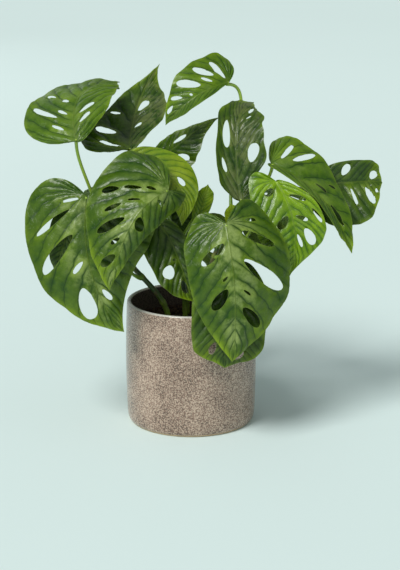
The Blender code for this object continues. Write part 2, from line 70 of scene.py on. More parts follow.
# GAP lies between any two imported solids, and stems start one GAP above the soil, SOIL_DEPTH under the rim.
GAP = 0.35
SOIL_DEPTH = 22.0
STEM_GROUND = POT_HEIGHT - SOIL_DEPTH + GAP

# Stems: four Bezier points from the soil to the growing end, and the radius at the foot
Stem = namedtuple("Stem", "route radius")
STEMS = {
    "stem_left": Stem(((-24, 0, 0), (-24, 0, 30), (-72, 4, 56), (-98, 8, 104)), 3.0),
    "stem_middle": Stem(((-6, 8, 0), (-6, 8, 40), (-14, 10, 90), (-34, 18, 136)), 2.8),
    "stem_right": Stem(((10, -10, 0), (10, -10, 40), (26, -14, 80), (44, -20, 118)), 2.8),
    "stem_far_right": Stem(((20, 12, 0), (20, 12, 40), (44, 10, 90), (78, 4, 132)), 2.8),
    "stem_back": Stem(((-4, 28, 0), (-4, 28, 40), (-4, 44, 70), (-24, 52, 104)), 2.6),
}

# A stem starts a little below its foot, thins by STEM_TAPER, swells at its nodes and ends in a half round.
STEM_START = -0.04
STEM_TAPER = 0.2
STEM_RINGS = 150
STEM_SIDES = 28
NODE_REACH = 2.6
FIRST_NODE = 0.2
END_LEAST = 0.02

# Petioles, in millimetres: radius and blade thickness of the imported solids, reaches and the end's radius
PETIOLE_RADIUS = 1.5
CAD_BLADE = 0.8
JOINT_INSET = 2.0
FLARE_REACH = 9.0
KNEE_REACH = 6.0
PETIOLE_END = 0.7

# Petioles, as shares: pull of the curve, rise at the stem, room under a drooping blade, start inside the
# stem and depth of the channel on top. CHANNEL_WIDTH is in radians.
PETIOLE_EASE = 0.4
LEAVE_RISE = 0.7
DROOP_ROOM = 1.5
FOOT_SUNK = 0.4
CHANNEL_DEPTH = 0.12
CHANNEL_WIDTH = 0.5

# Blade outlines, as shares of the length or of the half width, and points along the midrib and the margin
VEIN_SLANT = 0.16
VEIN_BOW = 1.25
ROOT_EASE = 0.02
ROOT_TRIM = 0.01
SIDE_SPLIT = 0.4
LOBE_START = 0.05
LOBE_SPREAD = 2.0
SHOULDER = 0.27
TIP_TURN = 0.83
TIP_SLACK = 0.03
RIB_SAMPLES = 33
MARGIN_SAMPLES = 1201
MARGIN_BEATS = (23, 41)
BEAT_SHARE = 0.7
ROOT_START = 1e-4
LEAST_ROWS = 4
COLUMN_SPARE = 1.1
KNOT_GAP = 0.6
LEAN_LIMIT = 3

# Holes: tries to reach a rim, and the least slope of a level a millimetre
RIM_TRIES = 5
LEAST_SLOPE = 1e-3

# Places on the midrib that agree to this many decimals of a millimetre become one point.
JOIN_DIGITS = 3

# Relief of a blade: reaches and heights in millimetres, numbers of random waves, the rest as shares
FULL_WIDTH = 40.0
PILLOW_POWER = 0.8
PILLOW_FADE = 0.6
WAVE_PACE = (2.1, 0.9)
WAVE_SHARE = 0.6
GROOVE_REACH = 2.4
GROOVE_RISE = 0.6
RIB_STAND = 1.3
RIB_TAPER = 0.8
VEIN_STAND = 0.3
DRIFT_WAVES = 5
CRINKLE_WAVES = 7
# Softness of the olive tint's edge, which is partly painted backlight, as a share
OLIVE_AND_BACKLIGHT_SOFT = 0.3

# The colours use distances to a rim up to RIM_LIMIT, and FAR stands for no rim at all.
RIM_LIMIT = 9.0
FAR = 99.0

# Faces that meet at more than this many degrees have a hard edge between them.
SHARP_ANGLE = 50.0

# How much of the silver leaves' painted sheen lies on the others
OTHER_SHEEN_SHARE = 0.25

# The pot's radii at rim and foot. FOOT_RING is how far inside the foot's edge the raised middle ends and the
# ring that it stands on starts and ends, and MIDDLE is the least radius.
POT_RIM = 67.0
POT_FOOT = 62.0
FOOT_RING = (6.0, 5.0, 0.3)
FOOT_LIFT = 0.6
MIDDLE = 0.5

# Points along each stretch of the pot's outline. LINE_IN, LINE_OUT and INSIDE_IN are the points of the lip's
# half round between which its pale line fades in and out and the darker inside glaze, a painted shade, fades
# in.
HEEL_STEPS = 14
WALL_STEPS = 60
LIP_STEPS = 17
BORE_STEPS = 30
CORNER_STEPS = 10
LINE_IN = (1, 4)
LINE_OUT = (12, 15)
INSIDE_IN = (12, 16)

# Potting mix: its grid, the random waves of its surface and how far that stays below the packed soil's
SOIL_SIDES = 200
SOIL_RINGS = 64
SOIL_MIDDLE = 0.01
SOIL_WAVES = 9
SOIL_SEED = 11
SOIL_INSET = 0.4
SOIL_SHADE = 0.2

# Crumbs: sizes as shares of the largest, and how they are stretched, shaken and raised
CRUMB_SEED = 7
CRUMB_MARGIN = 2.5
CRUMB_SIZES = (0.25, 1)
CRUMB_SKEW = 1.6
CRUMB_STRETCH = (0.6, 1.25)
CRUMB_SHAKE = (0.75, 1.15)
CRUMB_RISE = 0.3
NEIGHBOUR = 1.2

# Half the floor's side, in millimetres
FLOOR_HALF = 20000.0

# Lights, all aimed at PLANT_MIDDLE, and the camera, in metres. Its pitch is in degrees from straight down.
PLANT_MIDDLE = (0, 0, 0.2)
SUN_PLACE = (-0.8, -1.1, 1.8)
SUN_COLOUR = (1.0, 0.99, 0.97)
WINDOW_PLACE = (0.3, -2.6, 1.3)
WINDOW_SIDE = 1.2
FILL_PLACE = (-1.4, 2.4, 1.2)
FILL_SIDE = 1.6
DAYLIGHT = (0.97, 0.99, 1.0)
CAMERA_PLACE = (0.0095, -1.680, 0.611)
CAMERA_PITCH = 74.5
SENSOR_WIDTH = 36

# A blade runs from where its petiole joins to its tip, and its upper side faces the given way.
# Pairs are (right, left), as seen on the upper side with the tip away from the viewer.
# arch and sway bow the midrib up and to the right at a third and two thirds of it, in millimetres.
# fold is each side's rise from the midrib and curl is what it gains on the way to the margin, in degrees.
# lobe, widest and full shape the outline. arrive is the petiole's last direction, along the midrib and up.
# A hole is (station and share of its inner end, station and share of its outer end, width in millimetres).
# tone names the colours of the blade, and the field after it is how far out from the midrib each side is
# tinted olive grey, partly as painted backlight shining through the blade and partly as olive patches.
# crinkle multiplies the height of the lumps. ragged is how much the margin strays, as a share of the width.
Leaf = namedtuple(
    "Leaf",
    "base tip face width stem node arch sway fold curl lobe widest full right left "
    "arrive tone stale crinkle ragged",
    defaults=(
        (0, 0), (0, 0), (0, 0), (0, 0), (0.25, 0.25), (0.27, 0.27), (0.38, 0.38), (), (), (0, 1),
        "deep", (0, 0), 1, 0.012,
    ),
)

LEAVES = {
    "upper_left": Leaf(
        base=(-114, -30, 303), tip=(-75, 75, 347), face=(0, -0.4, 1), width=(38, 54),
        arch=(17, 19), sway=(-27, -28), fold=(14, -15), curl=(-6, 1), lobe=(0.08, 0.01), widest=(0.44, 0.31),
        full=(0.46, 0.29), stem="stem_left", node=1.0, tone="fresh",
        right=((0.38, 0.17, 0.41, 0.54, 5.5), (0.32, 0.18, 0.35, 0.48, 4.5)),
        left=((0.44, 0.31, 0.46, 0.86, 5.5), (0.47, 0.12, 0.49, 0.33, 3.5), (0.58, 0.55, 0.57, 0.84, 3),
              (0.57, 0.18, 0.57, 0.37, 4.5), (0.37, 0.19, 0.39, 0.41, 3.5))),
    # Its right side is tinted olive grey, much of it painted backlight through the blade.
    "upper_back_left": Leaf(
        base=(-63, 20, 285), tip=(-34, 125, 359), face=(0.1, -0.5, 1), width=(33, 52),
        arch=(-14, -4), sway=(-12, -12), fold=(17, -1), curl=(-4, 20), lobe=(0.09, 0), widest=(0.53, 0.05),
        full=(0.11, 0.05), stem="stem_middle", node=0.8, tone="deep",
        stale=(1.4, 0.1), crinkle=1.4, ragged=0.03,
        right=((0.53, 0.1, 0.6, 0.42, 9), (0.35, 0.1, 0.36, 0.32, 4)),
        left=((0.6, 0.38, 0.56, 0.86, 9), (0.69, 0.49, 0.67, 0.85, 3.5), (0.53, 0.14, 0.48, 0.66, 4))),
    "top": Leaf(
        base=(40, 28, 354), tip=(-26, 10, 312), face=(-0.1, -1, 0.75), width=(36, 8),
        arch=(20, 22), sway=(0, -1), fold=(7, -35), curl=(3, 0), lobe=(0.33, 0), widest=(0.11, 0.48),
        full=(0.47, 0.41), stem="stem_right", node=1.0, tone="fresh", arrive=(1.5, 0.3), ragged=0.03,
        right=((0.43, 0.12, 0.41, 0.76, 7), (0.47, 0.34, 0.52, 0.81, 7), (0.51, 0.17, 0.54, 0.44, 3.5),
               (0.58, 0.25, 0.66, 0.87, 8.5), (0.73, 0.35, 0.78, 0.84, 4), (0.82, 0.54, 0.9, 0.76, 4),
               (0.67, 0.12, 0.68, 0.24, 2.5))),
    "middle_back": Leaf(
        base=(-43, 45, 269), tip=(32, 34, 317), face=(0, -0.8, 0.6), width=(28, 16),
        arch=(6, 9), sway=(13, -4), curl=(-8, -4), lobe=(0.1, 0.1), widest=(0.42, 0.37), full=(0.05, 0.05),
        stem="stem_middle", node=0.9, tone="deep", ragged=0.03,
        right=((0.48, 0.35, 0.5, 0.78, 6),),
        left=((0.54, 0.38, 0.68, 0.34, 4),)),
    "centre_upright": Leaf(
        base=(51, -34, 242), tip=(66, 46, 330), face=(0, -1, 0.4), width=(30, 22),
        arch=(8, 51), sway=(-11, -25), fold=(14, -11), curl=(5, 53), widest=(0.45, 0.33), lobe=(0, 0),
        full=(0.33, 0.57), stem="stem_right", node=0.9, tone="deep", arrive=(1, 0.3),
        stale=(0.75, 0.6), crinkle=1.7, ragged=0.07,
        right=((0.37, 0.5, 0.44, 0.68, 11), (0.73, 0.51, 0.8, 0.79, 4), (0.66, 0.38, 0.68, 0.6, 3)),
        left=((0.59, 0.6, 0.48, 0.43, 7.5), (0.43, 0.67, 0.4, 0.52, 4))),
    "front_right": Leaf(
        base=(35, -84, 231), tip=(41, -114, 98), face=(0, -1, 0.3), width=(46, 68),
        arch=(24, 3), sway=(-6, -9), fold=(-7, -23), curl=(-9, -16), lobe=(0.26, 0.5), widest=(0.22, 0.33),
        full=(0.51, 0.34), stem="stem_right", node=0.7, tone="silver", crinkle=1.6,
        right=((0.43, 0.12, 0.45, 0.66, 10), (0.54, 0.13, 0.55, 0.26, 2.5), (0.59, 0.17, 0.65, 0.63, 11)),
        left=((0.21, 0.44, 0.23, 0.64, 4), (0.34, 0.23, 0.35, 0.75, 10), (0.45, 0.19, 0.54, 0.87, 15),
              (0.68, 0.17, 0.75, 0.75, 11), (0.59, 0.15, 0.61, 0.31, 2.5))),
    "front_low": Leaf(
        base=(39, -70, 181), tip=(34, -88, 83), face=(0, -1, 0.2), width=(36, 40),
        arch=(5, 5), fold=(5, 5), curl=(5, 5), widest=(0.45, 0.4), full=(0.76, 0.8),
        stem="stem_right", node=0.4, tone="deep",
        right=((0.65, 0.35, 0.78, 0.68, 6.5),),
        left=((0.88, 0.66, 0.72, 0.6, 5),)),
    # Its lime tone is a sunlit look painted on the leaf.
    "right": Leaf(
        base=(86, -34, 263), tip=(100, -56, 170), face=(0, -1, 0.5), width=(40, 32),
        arch=(11, 8), sway=(-14, -15), fold=(5, 6), curl=(1, 7), lobe=(0.51, 0.03), widest=(0.42, 0.54),
        full=(0.38, 0.12), stem="stem_far_right", node=0.8, tone="lime",
        right=((0.31, 0.18, 0.3, 0.47, 7.5), (0.46, 0.12, 0.51, 0.43, 9)),
        left=((0.28, 0.17, 0.3, 0.67, 4), (0.34, 0.7, 0.39, 0.88, 3.5), (0.41, 0.12, 0.43, 0.46, 4),
              (0.54, 0.37, 0.63, 0.84, 9), (0.62, 0.1, 0.71, 0.42, 3.5))),
    "right_arching": Leaf(
        base=(81, -20, 278), tip=(163, -49, 192), face=(0.3, -0.6, 1), width=(14, 48),
        arch=(23, 8), sway=(-6, -18), fold=(11, 3), curl=(13, -4), lobe=(0.08, 0.08), widest=(0.38, 0.05),
        full=(0.6, 0.28), stem="stem_far_right", node=0.9, tone="fresh",
        left=((0.48, 0.23, 0.42, 0.76, 5), (0.52, 0.34, 0.53, 0.9, 7), (0.65, 0.2, 0.7, 0.36, 3),
              (0.75, 0.15, 0.85, 0.22, 4), (0.67, 0.6, 0.69, 0.8, 3))),
    "far_right": Leaf(
        base=(130, 15, 252), tip=(200, 29, 248), face=(0, -1, 0.5), width=(49, 23),
        arch=(0, 10), sway=(4, -1), fold=(7, 17), curl=(6, 6), lobe=(0.25, 0.17), widest=(0.35, 0.5),
        full=(0.5, 0.9), stem="stem_far_right", node=0.6, tone="deep",
        right=((0.54, 0.13, 0.54, 0.59, 3), (0.7, 0.2, 0.74, 0.85, 7), (0.86, 0.47, 0.85, 0.72, 4)),
        left=((0.4, 0.35, 0.41, 0.81, 8), (0.77, 0.18, 0.8, 0.71, 8))),
    "centre_left": Leaf(
        base=(-22, -50, 257), tip=(-80, -93, 165), face=(-0.1, -1, 0.6), width=(66, 26),
        arch=(29, 9), sway=(18, 10), fold=(-10, -37), curl=(-11, -13), lobe=(0.33, 0.36),
        widest=(0.11, 0.23), full=(0.38, 0.21), stem="stem_middle", node=0.7, tone="silver", crinkle=1.6,
        right=((0.46, 0.1, 0.47, 0.24, 3.5), (0.48, 0.27, 0.5, 0.52, 3.5), (0.51, 0.57, 0.53, 0.81, 7),
               (0.53, 0.13, 0.55, 0.33, 2.5), (0.57, 0.38, 0.61, 0.64, 4.5), (0.63, 0.19, 0.7, 0.73, 9),
               (0.72, 0.12, 0.75, 0.34, 4.5), (0.8, 0.12, 0.85, 0.75, 9)),
        left=((0.58, 0.16, 0.62, 0.56, 11), (0.43, 0.12, 0.38, 0.5, 4))),
    "left_low": Leaf(
        base=(-105, -35, 248), tip=(-67, -66, 114), face=(-0.1, -1, 0.35), width=(64, 71),
        arch=(11, 12), sway=(18, 22), fold=(-6, -6), curl=(-11, -11), lobe=(0.22, 0.2), widest=(0.19, 0.22),
        full=(0.39, 0.23), stem="stem_left", node=0.6, tone="silver", crinkle=1.6,
        right=((0.39, 0.08, 0.38, 0.4, 3), (0.42, 0.25, 0.45, 0.81, 5.5), (0.51, 0.21, 0.57, 0.88, 11.5),
               (0.62, 0.11, 0.64, 0.37, 5), (0.71, 0.33, 0.83, 0.78, 17)),
        left=((0.77, 0.17, 0.82, 0.42, 5.5), (0.55, 0.2, 0.58, 0.7, 9))),
    "yellow_back": Leaf(
        base=(-64, -8, 268), tip=(-9, -26, 215), face=(0.2, -0.8, 0.6), width=(34, 28),
        arch=(12, 12), sway=(-28, -38), fold=(0, 0), lobe=(0.15, 0.15),
        stem="stem_middle", node=0.85, tone="yellow",
        left=((0.62, 0.25, 0.7, 0.31, 5.5),)),
    "centre_low": Leaf(
        base=(-33, -22, 217), tip=(4, -53, 142), face=(0.3, -1, 0.2), width=(32, 16),
        arch=(6, 7), sway=(-8, 2), fold=(4, 1), curl=(3, 0), lobe=(0.22, 0.03), widest=(0.24, 0.27),
        full=(0.6, 0.47),
        stem="stem_middle", node=0.5, tone="deep",
        right=((0.58, 0.36, 0.63, 0.72, 12), (0.74, 0.2, 0.88, 0.42, 7), (0.57, 0.09, 0.56, 0.24, 3))),
    "small_middle": Leaf(
        base=(6, 3, 214), tip=(18, 2, 252), face=(0.3, -1, 0.2), width=(10, 9),
        arch=(3, 3), widest=(0.5, 0.5), full=(0.45, 0.45),
        stem="stem_middle", node=0.6, tone="yellow"),
    "small_front": Leaf(
        base=(46, -51, 213), tip=(40, -52, 244), face=(0.2, -1, 0.2), width=(11, 9),
        arch=(2, 2), widest=(0.5, 0.5), full=(0.45, 0.45),
        stem="stem_right", node=0.82, tone="yellow"),
    "inner_right": Leaf(
        base=(62, -40, 222), tip=(104, -48, 190), face=(0.2, 1, 0.3), width=(20, 20),
        arch=(4, 4), stem="stem_right", node=0.6),
    "inner_left": Leaf(
        base=(-120, -8, 222), tip=(-140, -12, 160), face=(-0.2, -1, 0.3), width=(20, 26),
        arch=(4, 4), stem="stem_left", node=0.5, arrive=(0.5, 1),
        left=((0.5, 0.3, 0.55, 0.75, 5),)),
    "inner_middle": Leaf(
        base=(-10, 32, 226), tip=(-18, 29, 166), face=(0, -1, 0.1), width=(20, 24),
        arch=(2, 2), stem="stem_back", node=0.75),
    "back_left": Leaf(
        base=(-70, 62, 240), tip=(-86, 128, 174), face=(-0.1, 1, 0.6), width=(44, 44),
        arch=(10, 10), fold=(-5, -5), curl=(-10, -10), stem="stem_back", node=0.8, tone="fresh",
        right=((0.38, 0.2, 0.4, 0.7, 7), (0.55, 0.2, 0.59, 0.75, 8), (0.71, 0.2, 0.76, 0.7, 6)),
        left=((0.34, 0.25, 0.36, 0.7, 6), (0.49, 0.18, 0.52, 0.78, 9), (0.66, 0.2, 0.7, 0.7, 7))),
    "back_middle": Leaf(
        base=(4, 76, 200), tip=(2, 118, 112), face=(0, 1, 0.4), width=(44, 44),
        arch=(10, 10), fold=(-5, -5), curl=(-10, -10), stem="stem_back", node=0.7, tone="silver",
        right=((0.4, 0.22, 0.43, 0.72, 8), (0.56, 0.16, 0.61, 0.72, 7), (0.73, 0.22, 0.78, 0.68, 5)),
        left=((0.36, 0.2, 0.38, 0.66, 5), (0.52, 0.2, 0.56, 0.74, 9), (0.69, 0.24, 0.75, 0.7, 6))),
    "back_right": Leaf(
        base=(87, 52, 238), tip=(108, 118, 172), face=(0.1, 1, 0.6), width=(42, 42),
        arch=(10, 10), fold=(-5, -5), curl=(-10, -10), stem="stem_far_right", node=0.5, tone="fresh",
        right=((0.35, 0.25, 0.37, 0.74, 6), (0.5, 0.2, 0.54, 0.76, 8), (0.68, 0.22, 0.73, 0.72, 7)),
        left=((0.42, 0.22, 0.45, 0.76, 8), (0.6, 0.18, 0.65, 0.7, 7))),
}


def paint(red, green, blue):
    """A screen colour of 0 to 255 a channel, as the linear colour that shaders use."""
    share = np.array([red, green, blue]) / 255
    linear = np.where(share <= 0.04045, share / 12.92, ((share + 0.055) / 1.055) ** 2.4)
    return tuple(float(value) for value in linear)


# Curves


def unit(vector):
    """The vector or row of vectors scaled to length one."""
    return vector / np.linalg.norm(vector, axis=-1, keepdims=True)


def bezier(points, share):
    """Points of a cubic Bezier curve: the four points weighted by (1-s)^3, 3(1-s)^2 s, 3(1-s)s^2 and s^3."""
    p0, p1, p2, p3 = (np.asarray(p, float) for p in points)
    s = np.asarray(share, float)[..., None]
    return (1 - s) ** 3 * p0 + 3 * (1 - s) ** 2 * s * p1 + 3 * (1 - s) * s ** 2 * p2 + s ** 3 * p3


def bezier_slope(points, share):
    """Direction of travel of the same curve, a third of its derivative."""
    p0, p1, p2, p3 = (np.asarray(p, float) for p in points)
    s = np.asarray(share, float)[..., None]
    return (1 - s) ** 2 * (p1 - p0) + 2 * (1 - s) * s * (p2 - p1) + s ** 2 * (p3 - p2)


def ease(value, low, high):
    """0 up to low, 1 from high, and x*x*(3-2x) between them."""
    x = np.clip((value - low) / (high - low), 0, 1)
    return x * x * (3 - 2 * x)


def bump(distance, reach):
    """A bell curve of height 1: exp of minus (distance / reach) squared."""
    return np.exp(-(distance / reach) ** 2)


def lumps(x, y, steps, draw):
    """Lumps of about -1 to 1: 0.6 * the sum of sin(w u + p) * sin(w v + q) / 1.25^n over crossed waves.

    Each wave turns x and y by a random angle into u and v, and w = 0.16 * 1.45^n a millimetre.
    """
    height = np.zeros_like(x)
    for step in range(steps):
        turn, phase, other = draw.uniform(0, 2 * math.pi, 3)
        wave = 0.16 * 1.45 ** step
        across = x * math.cos(turn) + y * math.sin(turn)
        down = y * math.cos(turn) - x * math.sin(turn)
        height += np.sin(wave * across + phase) * np.sin(wave * down + other) / 1.25 ** step
    return height * 0.6


# Blades


def margin(station, shape):
    """Half outline (share of length, share of half width) from the sinus to the tip: two Bezier curves."""
    lobe, widest, full = shape
    station = np.asarray(station, float)
    back = bezier(
        ((0, 0), (-lobe, min(0.5, LOBE_START + LOBE_SPREAD * lobe)), (widest - SHOULDER, 1), (widest, 1)),
        np.clip(station / SIDE_SPLIT, 0, 1),
    )
    front = bezier(
        ((widest, 1), (min(widest + full, 1), 1), (TIP_TURN, full - TIP_SLACK), (1, 0)),
        np.clip((station - SIDE_SPLIT) / (1 - SIDE_SPLIT), 0, 1),
    )
    return np.where((station < SIDE_SPLIT)[..., None], back, front)


def vein_root(station, shape):
    """Where a margin station's side vein leaves the midrib: r = along - slant * across, eased up to 0."""
    edge = margin(station, shape)
    root = edge[..., 0] - VEIN_SLANT * edge[..., 1]
    root = (root + np.hypot(root, ROOT_EASE)) / 2 - ROOT_TRIM * (1 - np.asarray(station, float))
    return np.clip(root, 0, 1)


def vein_place(station, share, shape):
    """Flat place on a blade: along = root + (edge - root) * share^bow, across = edge * share."""
    edge = margin(station, shape)
    root = vein_root(station, shape)
    share = np.asarray(share, float)
    return np.stack([root + (edge[..., 0] - root) * share ** VEIN_BOW, edge[..., 1] * share], -1)


def spine(leaf):
    """The midrib's Bezier points, and the blade's up direction at right angles to it."""
    base = np.array(leaf.base, float)
    tip = np.array(leaf.tip, float)
    chord = unit(tip - base)
    face = np.array(leaf.face, float)
    up = unit(face - chord * face.dot(chord))
    right = np.cross(chord, up)
    one = base + (tip - base) / 3 + up * leaf.arch[0] + right * leaf.sway[0]
    two = base + (tip - base) * 2 / 3 + up * leaf.arch[1] + right * leaf.sway[1]
    return (base, one, two, tip), up


def rib_length(points):
    """Length of the midrib along its curve."""
    trail = bezier(points, np.linspace(0, 1, RIB_SAMPLES))
    return float(np.linalg.norm(np.diff(trail, axis=0), axis=1).sum())


def bend(leaf, flat, crease):
    """Carries flat places onto the bent midrib.

    A point goes along the midrib by its first coordinate, and then out by its second at the angle
    a = (fold + curl/2 * share) * x / hypot(x, crease), which rounds the fold at the midrib.
    """
    points, up0 = spine(leaf)
    length = rib_length(points)
    share = flat[:, 0] / length
    inside = np.clip(share, 0, 1)
    tangent = unit(bezier_slope(points, inside))
    place = bezier(points, inside) + tangent * (flat[:, :1] - inside[:, None] * length)
    up = unit(up0 - tangent * (tangent @ up0)[:, None])
    right = np.cross(tangent, up)
    across = flat[:, 1]
    out = np.abs(across)
    first = across >= 0
    width = np.where(first, leaf.width[0], leaf.width[1])
    fold = np.where(first, leaf.fold[0], leaf.fold[1])
    curl = np.where(first, leaf.curl[0], leaf.curl[1])
    angle = np.radians(fold + curl / 2 * out / width) * out / np.hypot(out, crease)
    place = place + right * (across * np.cos(angle))[:, None] + up * (out * np.sin(angle))[:, None]
    normal = up * np.cos(angle)[:, None] - right * (np.sign(across) * np.sin(angle))[:, None]
    return place, unit(normal)


def vein_lean(holes, least):
    """Run of the side veins towards the tip on their way out: least + the holes' own lean, within limits."""
    moves = [(hole[2] - hole[0], hole[3] - hole[1]) for hole in holes]
    rise = sum(on * out for on, out in moves) / max(sum(out * out for _, out in moves), 0.01)
    return min(max(rise, 0) + least, LEAN_LIMIT * least)


def vein_count(station, holes, pitch, lean):
    """Counts side veins from the sinus: whole numbers are veins, and a hole's middle is halfway between."""
    knots, counts = [0.0], [0.0]
    middles = [(hole[0] + hole[2]) / 2 - lean * ((hole[1] + hole[3]) / 2 - 0.5) for hole in holes]
    for middle in sorted(middles):
        if middle - knots[-1] > pitch * KNOT_GAP:
            step = max(1, round((middle - knots[-1]) / pitch))
            counts.append(counts[-1] + step + (0.5 if len(knots) == 1 else 0))
            knots.append(middle)
    counts.append(counts[-1] + max(1, round((1 - knots[-1]) / pitch)) + 0.5)
    knots.append(1.0)
    return np.interp(station, knots, counts)


def hole_frame(hole, scale, shape):
    """A hole's middle, its direction outwards, half its length and half its width, in flat millimetres."""
    ends = vein_place(np.array(hole[0:3:2]), np.array(hole[1:4:2]), shape) * scale
    half = np.linalg.norm(ends[1] - ends[0]) / 2
    return ends.mean(axis=0), (ends[1] - ends[0]) / (2 * half), half, hole[4] / 2


def hole_level(place, framed, egg):
    """hypot(u, v / (1 + egg * u)) - 1, u and v in half lengths and half widths: below 0 inside the hole."""
    middle, way, half, breadth = framed
    apart = place - middle
    u = apart @ way / half
    v = (apart[..., 0] * -way[1] + apart[..., 1] * way[0]) / breadth
    return np.hypot(u, v / (1 + egg * np.clip(u, -1, 1))) - 1


def hole_slope(place, framed, egg):
    """Slope of the hole's level a millimetre, from four small steps."""
    step = 0.02
    return np.stack([
        hole_level(place + move, framed, egg) - hole_level(place - move, framed, egg)
        for move in (np.array([step, 0.0]), np.array([0.0, step]))
    ], -1) / (2 * step)


def cut_holes(flat, holes, egg):
    """Moves the grid points nearest a hole's rim onto it. Gives each point's level and distance to a rim."""
    if not holes:
        return np.ones(flat.shape[:2]), np.full(flat.shape[:2], FAR)
    levels = np.array([hole_level(flat, framed, egg) for framed in holes])
    nearest = levels.argmin(axis=0)
    level = levels.min(axis=0)
    snap = np.zeros(level.shape, bool)
    rows, columns, lead, lag = slice(None, -1), slice(None), slice(1, None), slice(None, -1)
    pairs = (
        ((rows, columns), (lead, columns)), ((columns, lag), (columns, lead)), ((rows, lag), (lead, lead)))
    for one, two in pairs:
        crosses = (level[one] < 0) != (level[two] < 0)
        closer = np.abs(level[one]) <= np.abs(level[two])
        snap[one] |= crosses & closer
        snap[two] |= crosses & ~closer
    away = np.full(level.shape, FAR)
    for number, framed in enumerate(holes):
        mine = snap & (nearest == number)
        for _ in range(RIM_TRIES):
            slope = hole_slope(flat[mine], framed, egg)
            off = hole_level(flat[mine], framed, egg) / (slope ** 2).sum(-1)
            flat[mine] -= slope * off[:, None]
        here = hole_level(flat, framed, egg)
        steep = np.linalg.norm(hole_slope(flat, framed, egg), axis=-1)
        away = np.minimum(away, np.maximum(here, 0) / np.maximum(steep, LEAST_SLOPE))
    level[snap] = 0
    return level, away


def blade_rows(shape, scale, cell):
    """Each row's station on the margin and its start along the midrib, about a cell apart.

    The first rows fan out from the sinus over the lobe, and the others start evenly along the midrib.
    """
    trial = np.linspace(0, 1, MARGIN_SAMPLES)
    root = np.maximum.accumulate(vein_root(trial, shape))
    turn = max(int(np.argmax(root > ROOT_START)) - 1, 0)
    lobe = np.linalg.norm(np.diff(margin(trial[:turn + 2], shape) * scale, axis=0), axis=1).sum()
    behind = max(LEAST_ROWS, math.ceil(lobe / cell))
    goal = np.linspace(0, 1, math.ceil(scale[0] / cell) + 1)
    fan = np.linspace(0, trial[turn], behind, endpoint=False)
    station = np.concatenate([fan, np.interp(goal, root[turn:], trial[turn:])])
    return station, np.concatenate([np.zeros(behind), goal])


def grid_faces(flat, level, holes, egg):
    """Two triangles for each cell of the grid, without those that lie inside a hole."""
    corner = np.arange(level.size).reshape(level.shape)
    a, b, c, d = corner[:-1, :-1], corner[1:, :-1], corner[1:, 1:], corner[:-1, 1:]
    faces = np.concatenate([np.stack([a, b, c], -1).reshape(-1, 3), np.stack([a, c, d], -1).reshape(-1, 3)])
    corners = level.ravel()[faces]
    kept = corners.min(axis=1) >= 0
    flush = kept & (corners.max(axis=1) == 0)
    if flush.any():
        middles = flat.reshape(-1, 2)[faces[flush]].mean(axis=1)
        kept[flush] = np.min([hole_level(middles, framed, egg) for framed in holes], axis=0) > 0
    return faces[kept]


def half_blade(leaf, side, length, sizes):
    """One side of a blade as a flat grid with its holes cut.

    Rows follow vein_place and columns are shares step^gather of the way out. Side veins are counted by
    station - lean * (share - 1/2), and the margin strays by two sine waves of the station.
    Gives places, triangles and each point's vein count, share, reach along the midrib and distance to a rim.
    """
    shape = (leaf.lobe[side], leaf.widest[side], leaf.full[side])
    scale = np.array([length, leaf.width[side]])
    cuts = (leaf.right, leaf.left)[side]
    station, start = blade_rows(shape, scale, sizes.cell)
    columns = math.ceil(leaf.width[side] * COLUMN_SPARE / sizes.cell) + 1
    share = np.linspace(0, 1, columns) ** sizes.gather
    edge = margin(station, shape)
    slow, fast = MARGIN_BEATS
    stray = np.sin(station * slow + side) + BEAT_SHARE * np.sin(station * fast + 2 * side + 1)
    edge[:, 1] *= 1 + leaf.ragged * stray * ease(station, 0.05, 0.2)
    along = start[:, None] + (edge[:, :1] - start[:, None]) * share ** VEIN_BOW
    flat = np.stack([along * length, edge[:, 1:] * share * leaf.width[side]], -1)
    holes = [hole_frame(hole, scale, shape) for hole in cuts]
    level, away = cut_holes(flat, holes, sizes.egg)
    reach = np.linalg.norm((edge - np.stack([start, np.zeros_like(start)], -1)) * scale, axis=1)
    away = np.minimum(away, (1 - share) * reach[:, None])
    lean = vein_lean(cuts, sizes.vein_sweep)
    swept = station[:, None] - lean * (share - 0.5) * ease(station, 0.05, 0.3)[:, None]
    count = vein_count(swept, cuts, sizes.vein_pitch, lean)
    facts = np.stack(np.broadcast_arrays(count, share, start[:, None], away), -1)
    faces = grid_faces(flat, level, holes, sizes.egg)
    return flat.reshape(-1, 2) * (1, (1, -1)[side]), faces, facts.reshape(-1, 4)


def whole_blade(leaf, length, sizes):
    """Both sides joined along the midrib: equal places become one point, and unused points go."""
    flat, faces, facts = half_blade(leaf, 0, length, sizes)
    other = half_blade(leaf, 1, length, sizes)
    faces = np.vstack([faces, other[1] + len(flat)])
    flat = np.vstack([flat, other[0]])
    facts = np.vstack([facts, other[2]])
    places = np.round(flat, JOIN_DIGITS) + 0.0
    _, first, back = np.unique(places, axis=0, return_index=True, return_inverse=True)
    faces = first[back.ravel()[faces]]
    whole = (faces[:, 0] != faces[:, 1]) & (faces[:, 1] != faces[:, 2]) & (faces[:, 2] != faces[:, 0])
    used, faces = np.unique(faces[whole], return_inverse=True)
    faces = faces.reshape(-1, 3)
    flat, facts = flat[used], facts[used]
    one, two = flat[faces[:, 1]] - flat[faces[:, 0]], flat[faces[:, 2]] - flat[faces[:, 0]]
    wrong = one[:, 0] * two[:, 1] - one[:, 1] * two[:, 0] > 0
    faces[wrong] = faces[wrong][:, ::-1]
    return flat, faces, facts


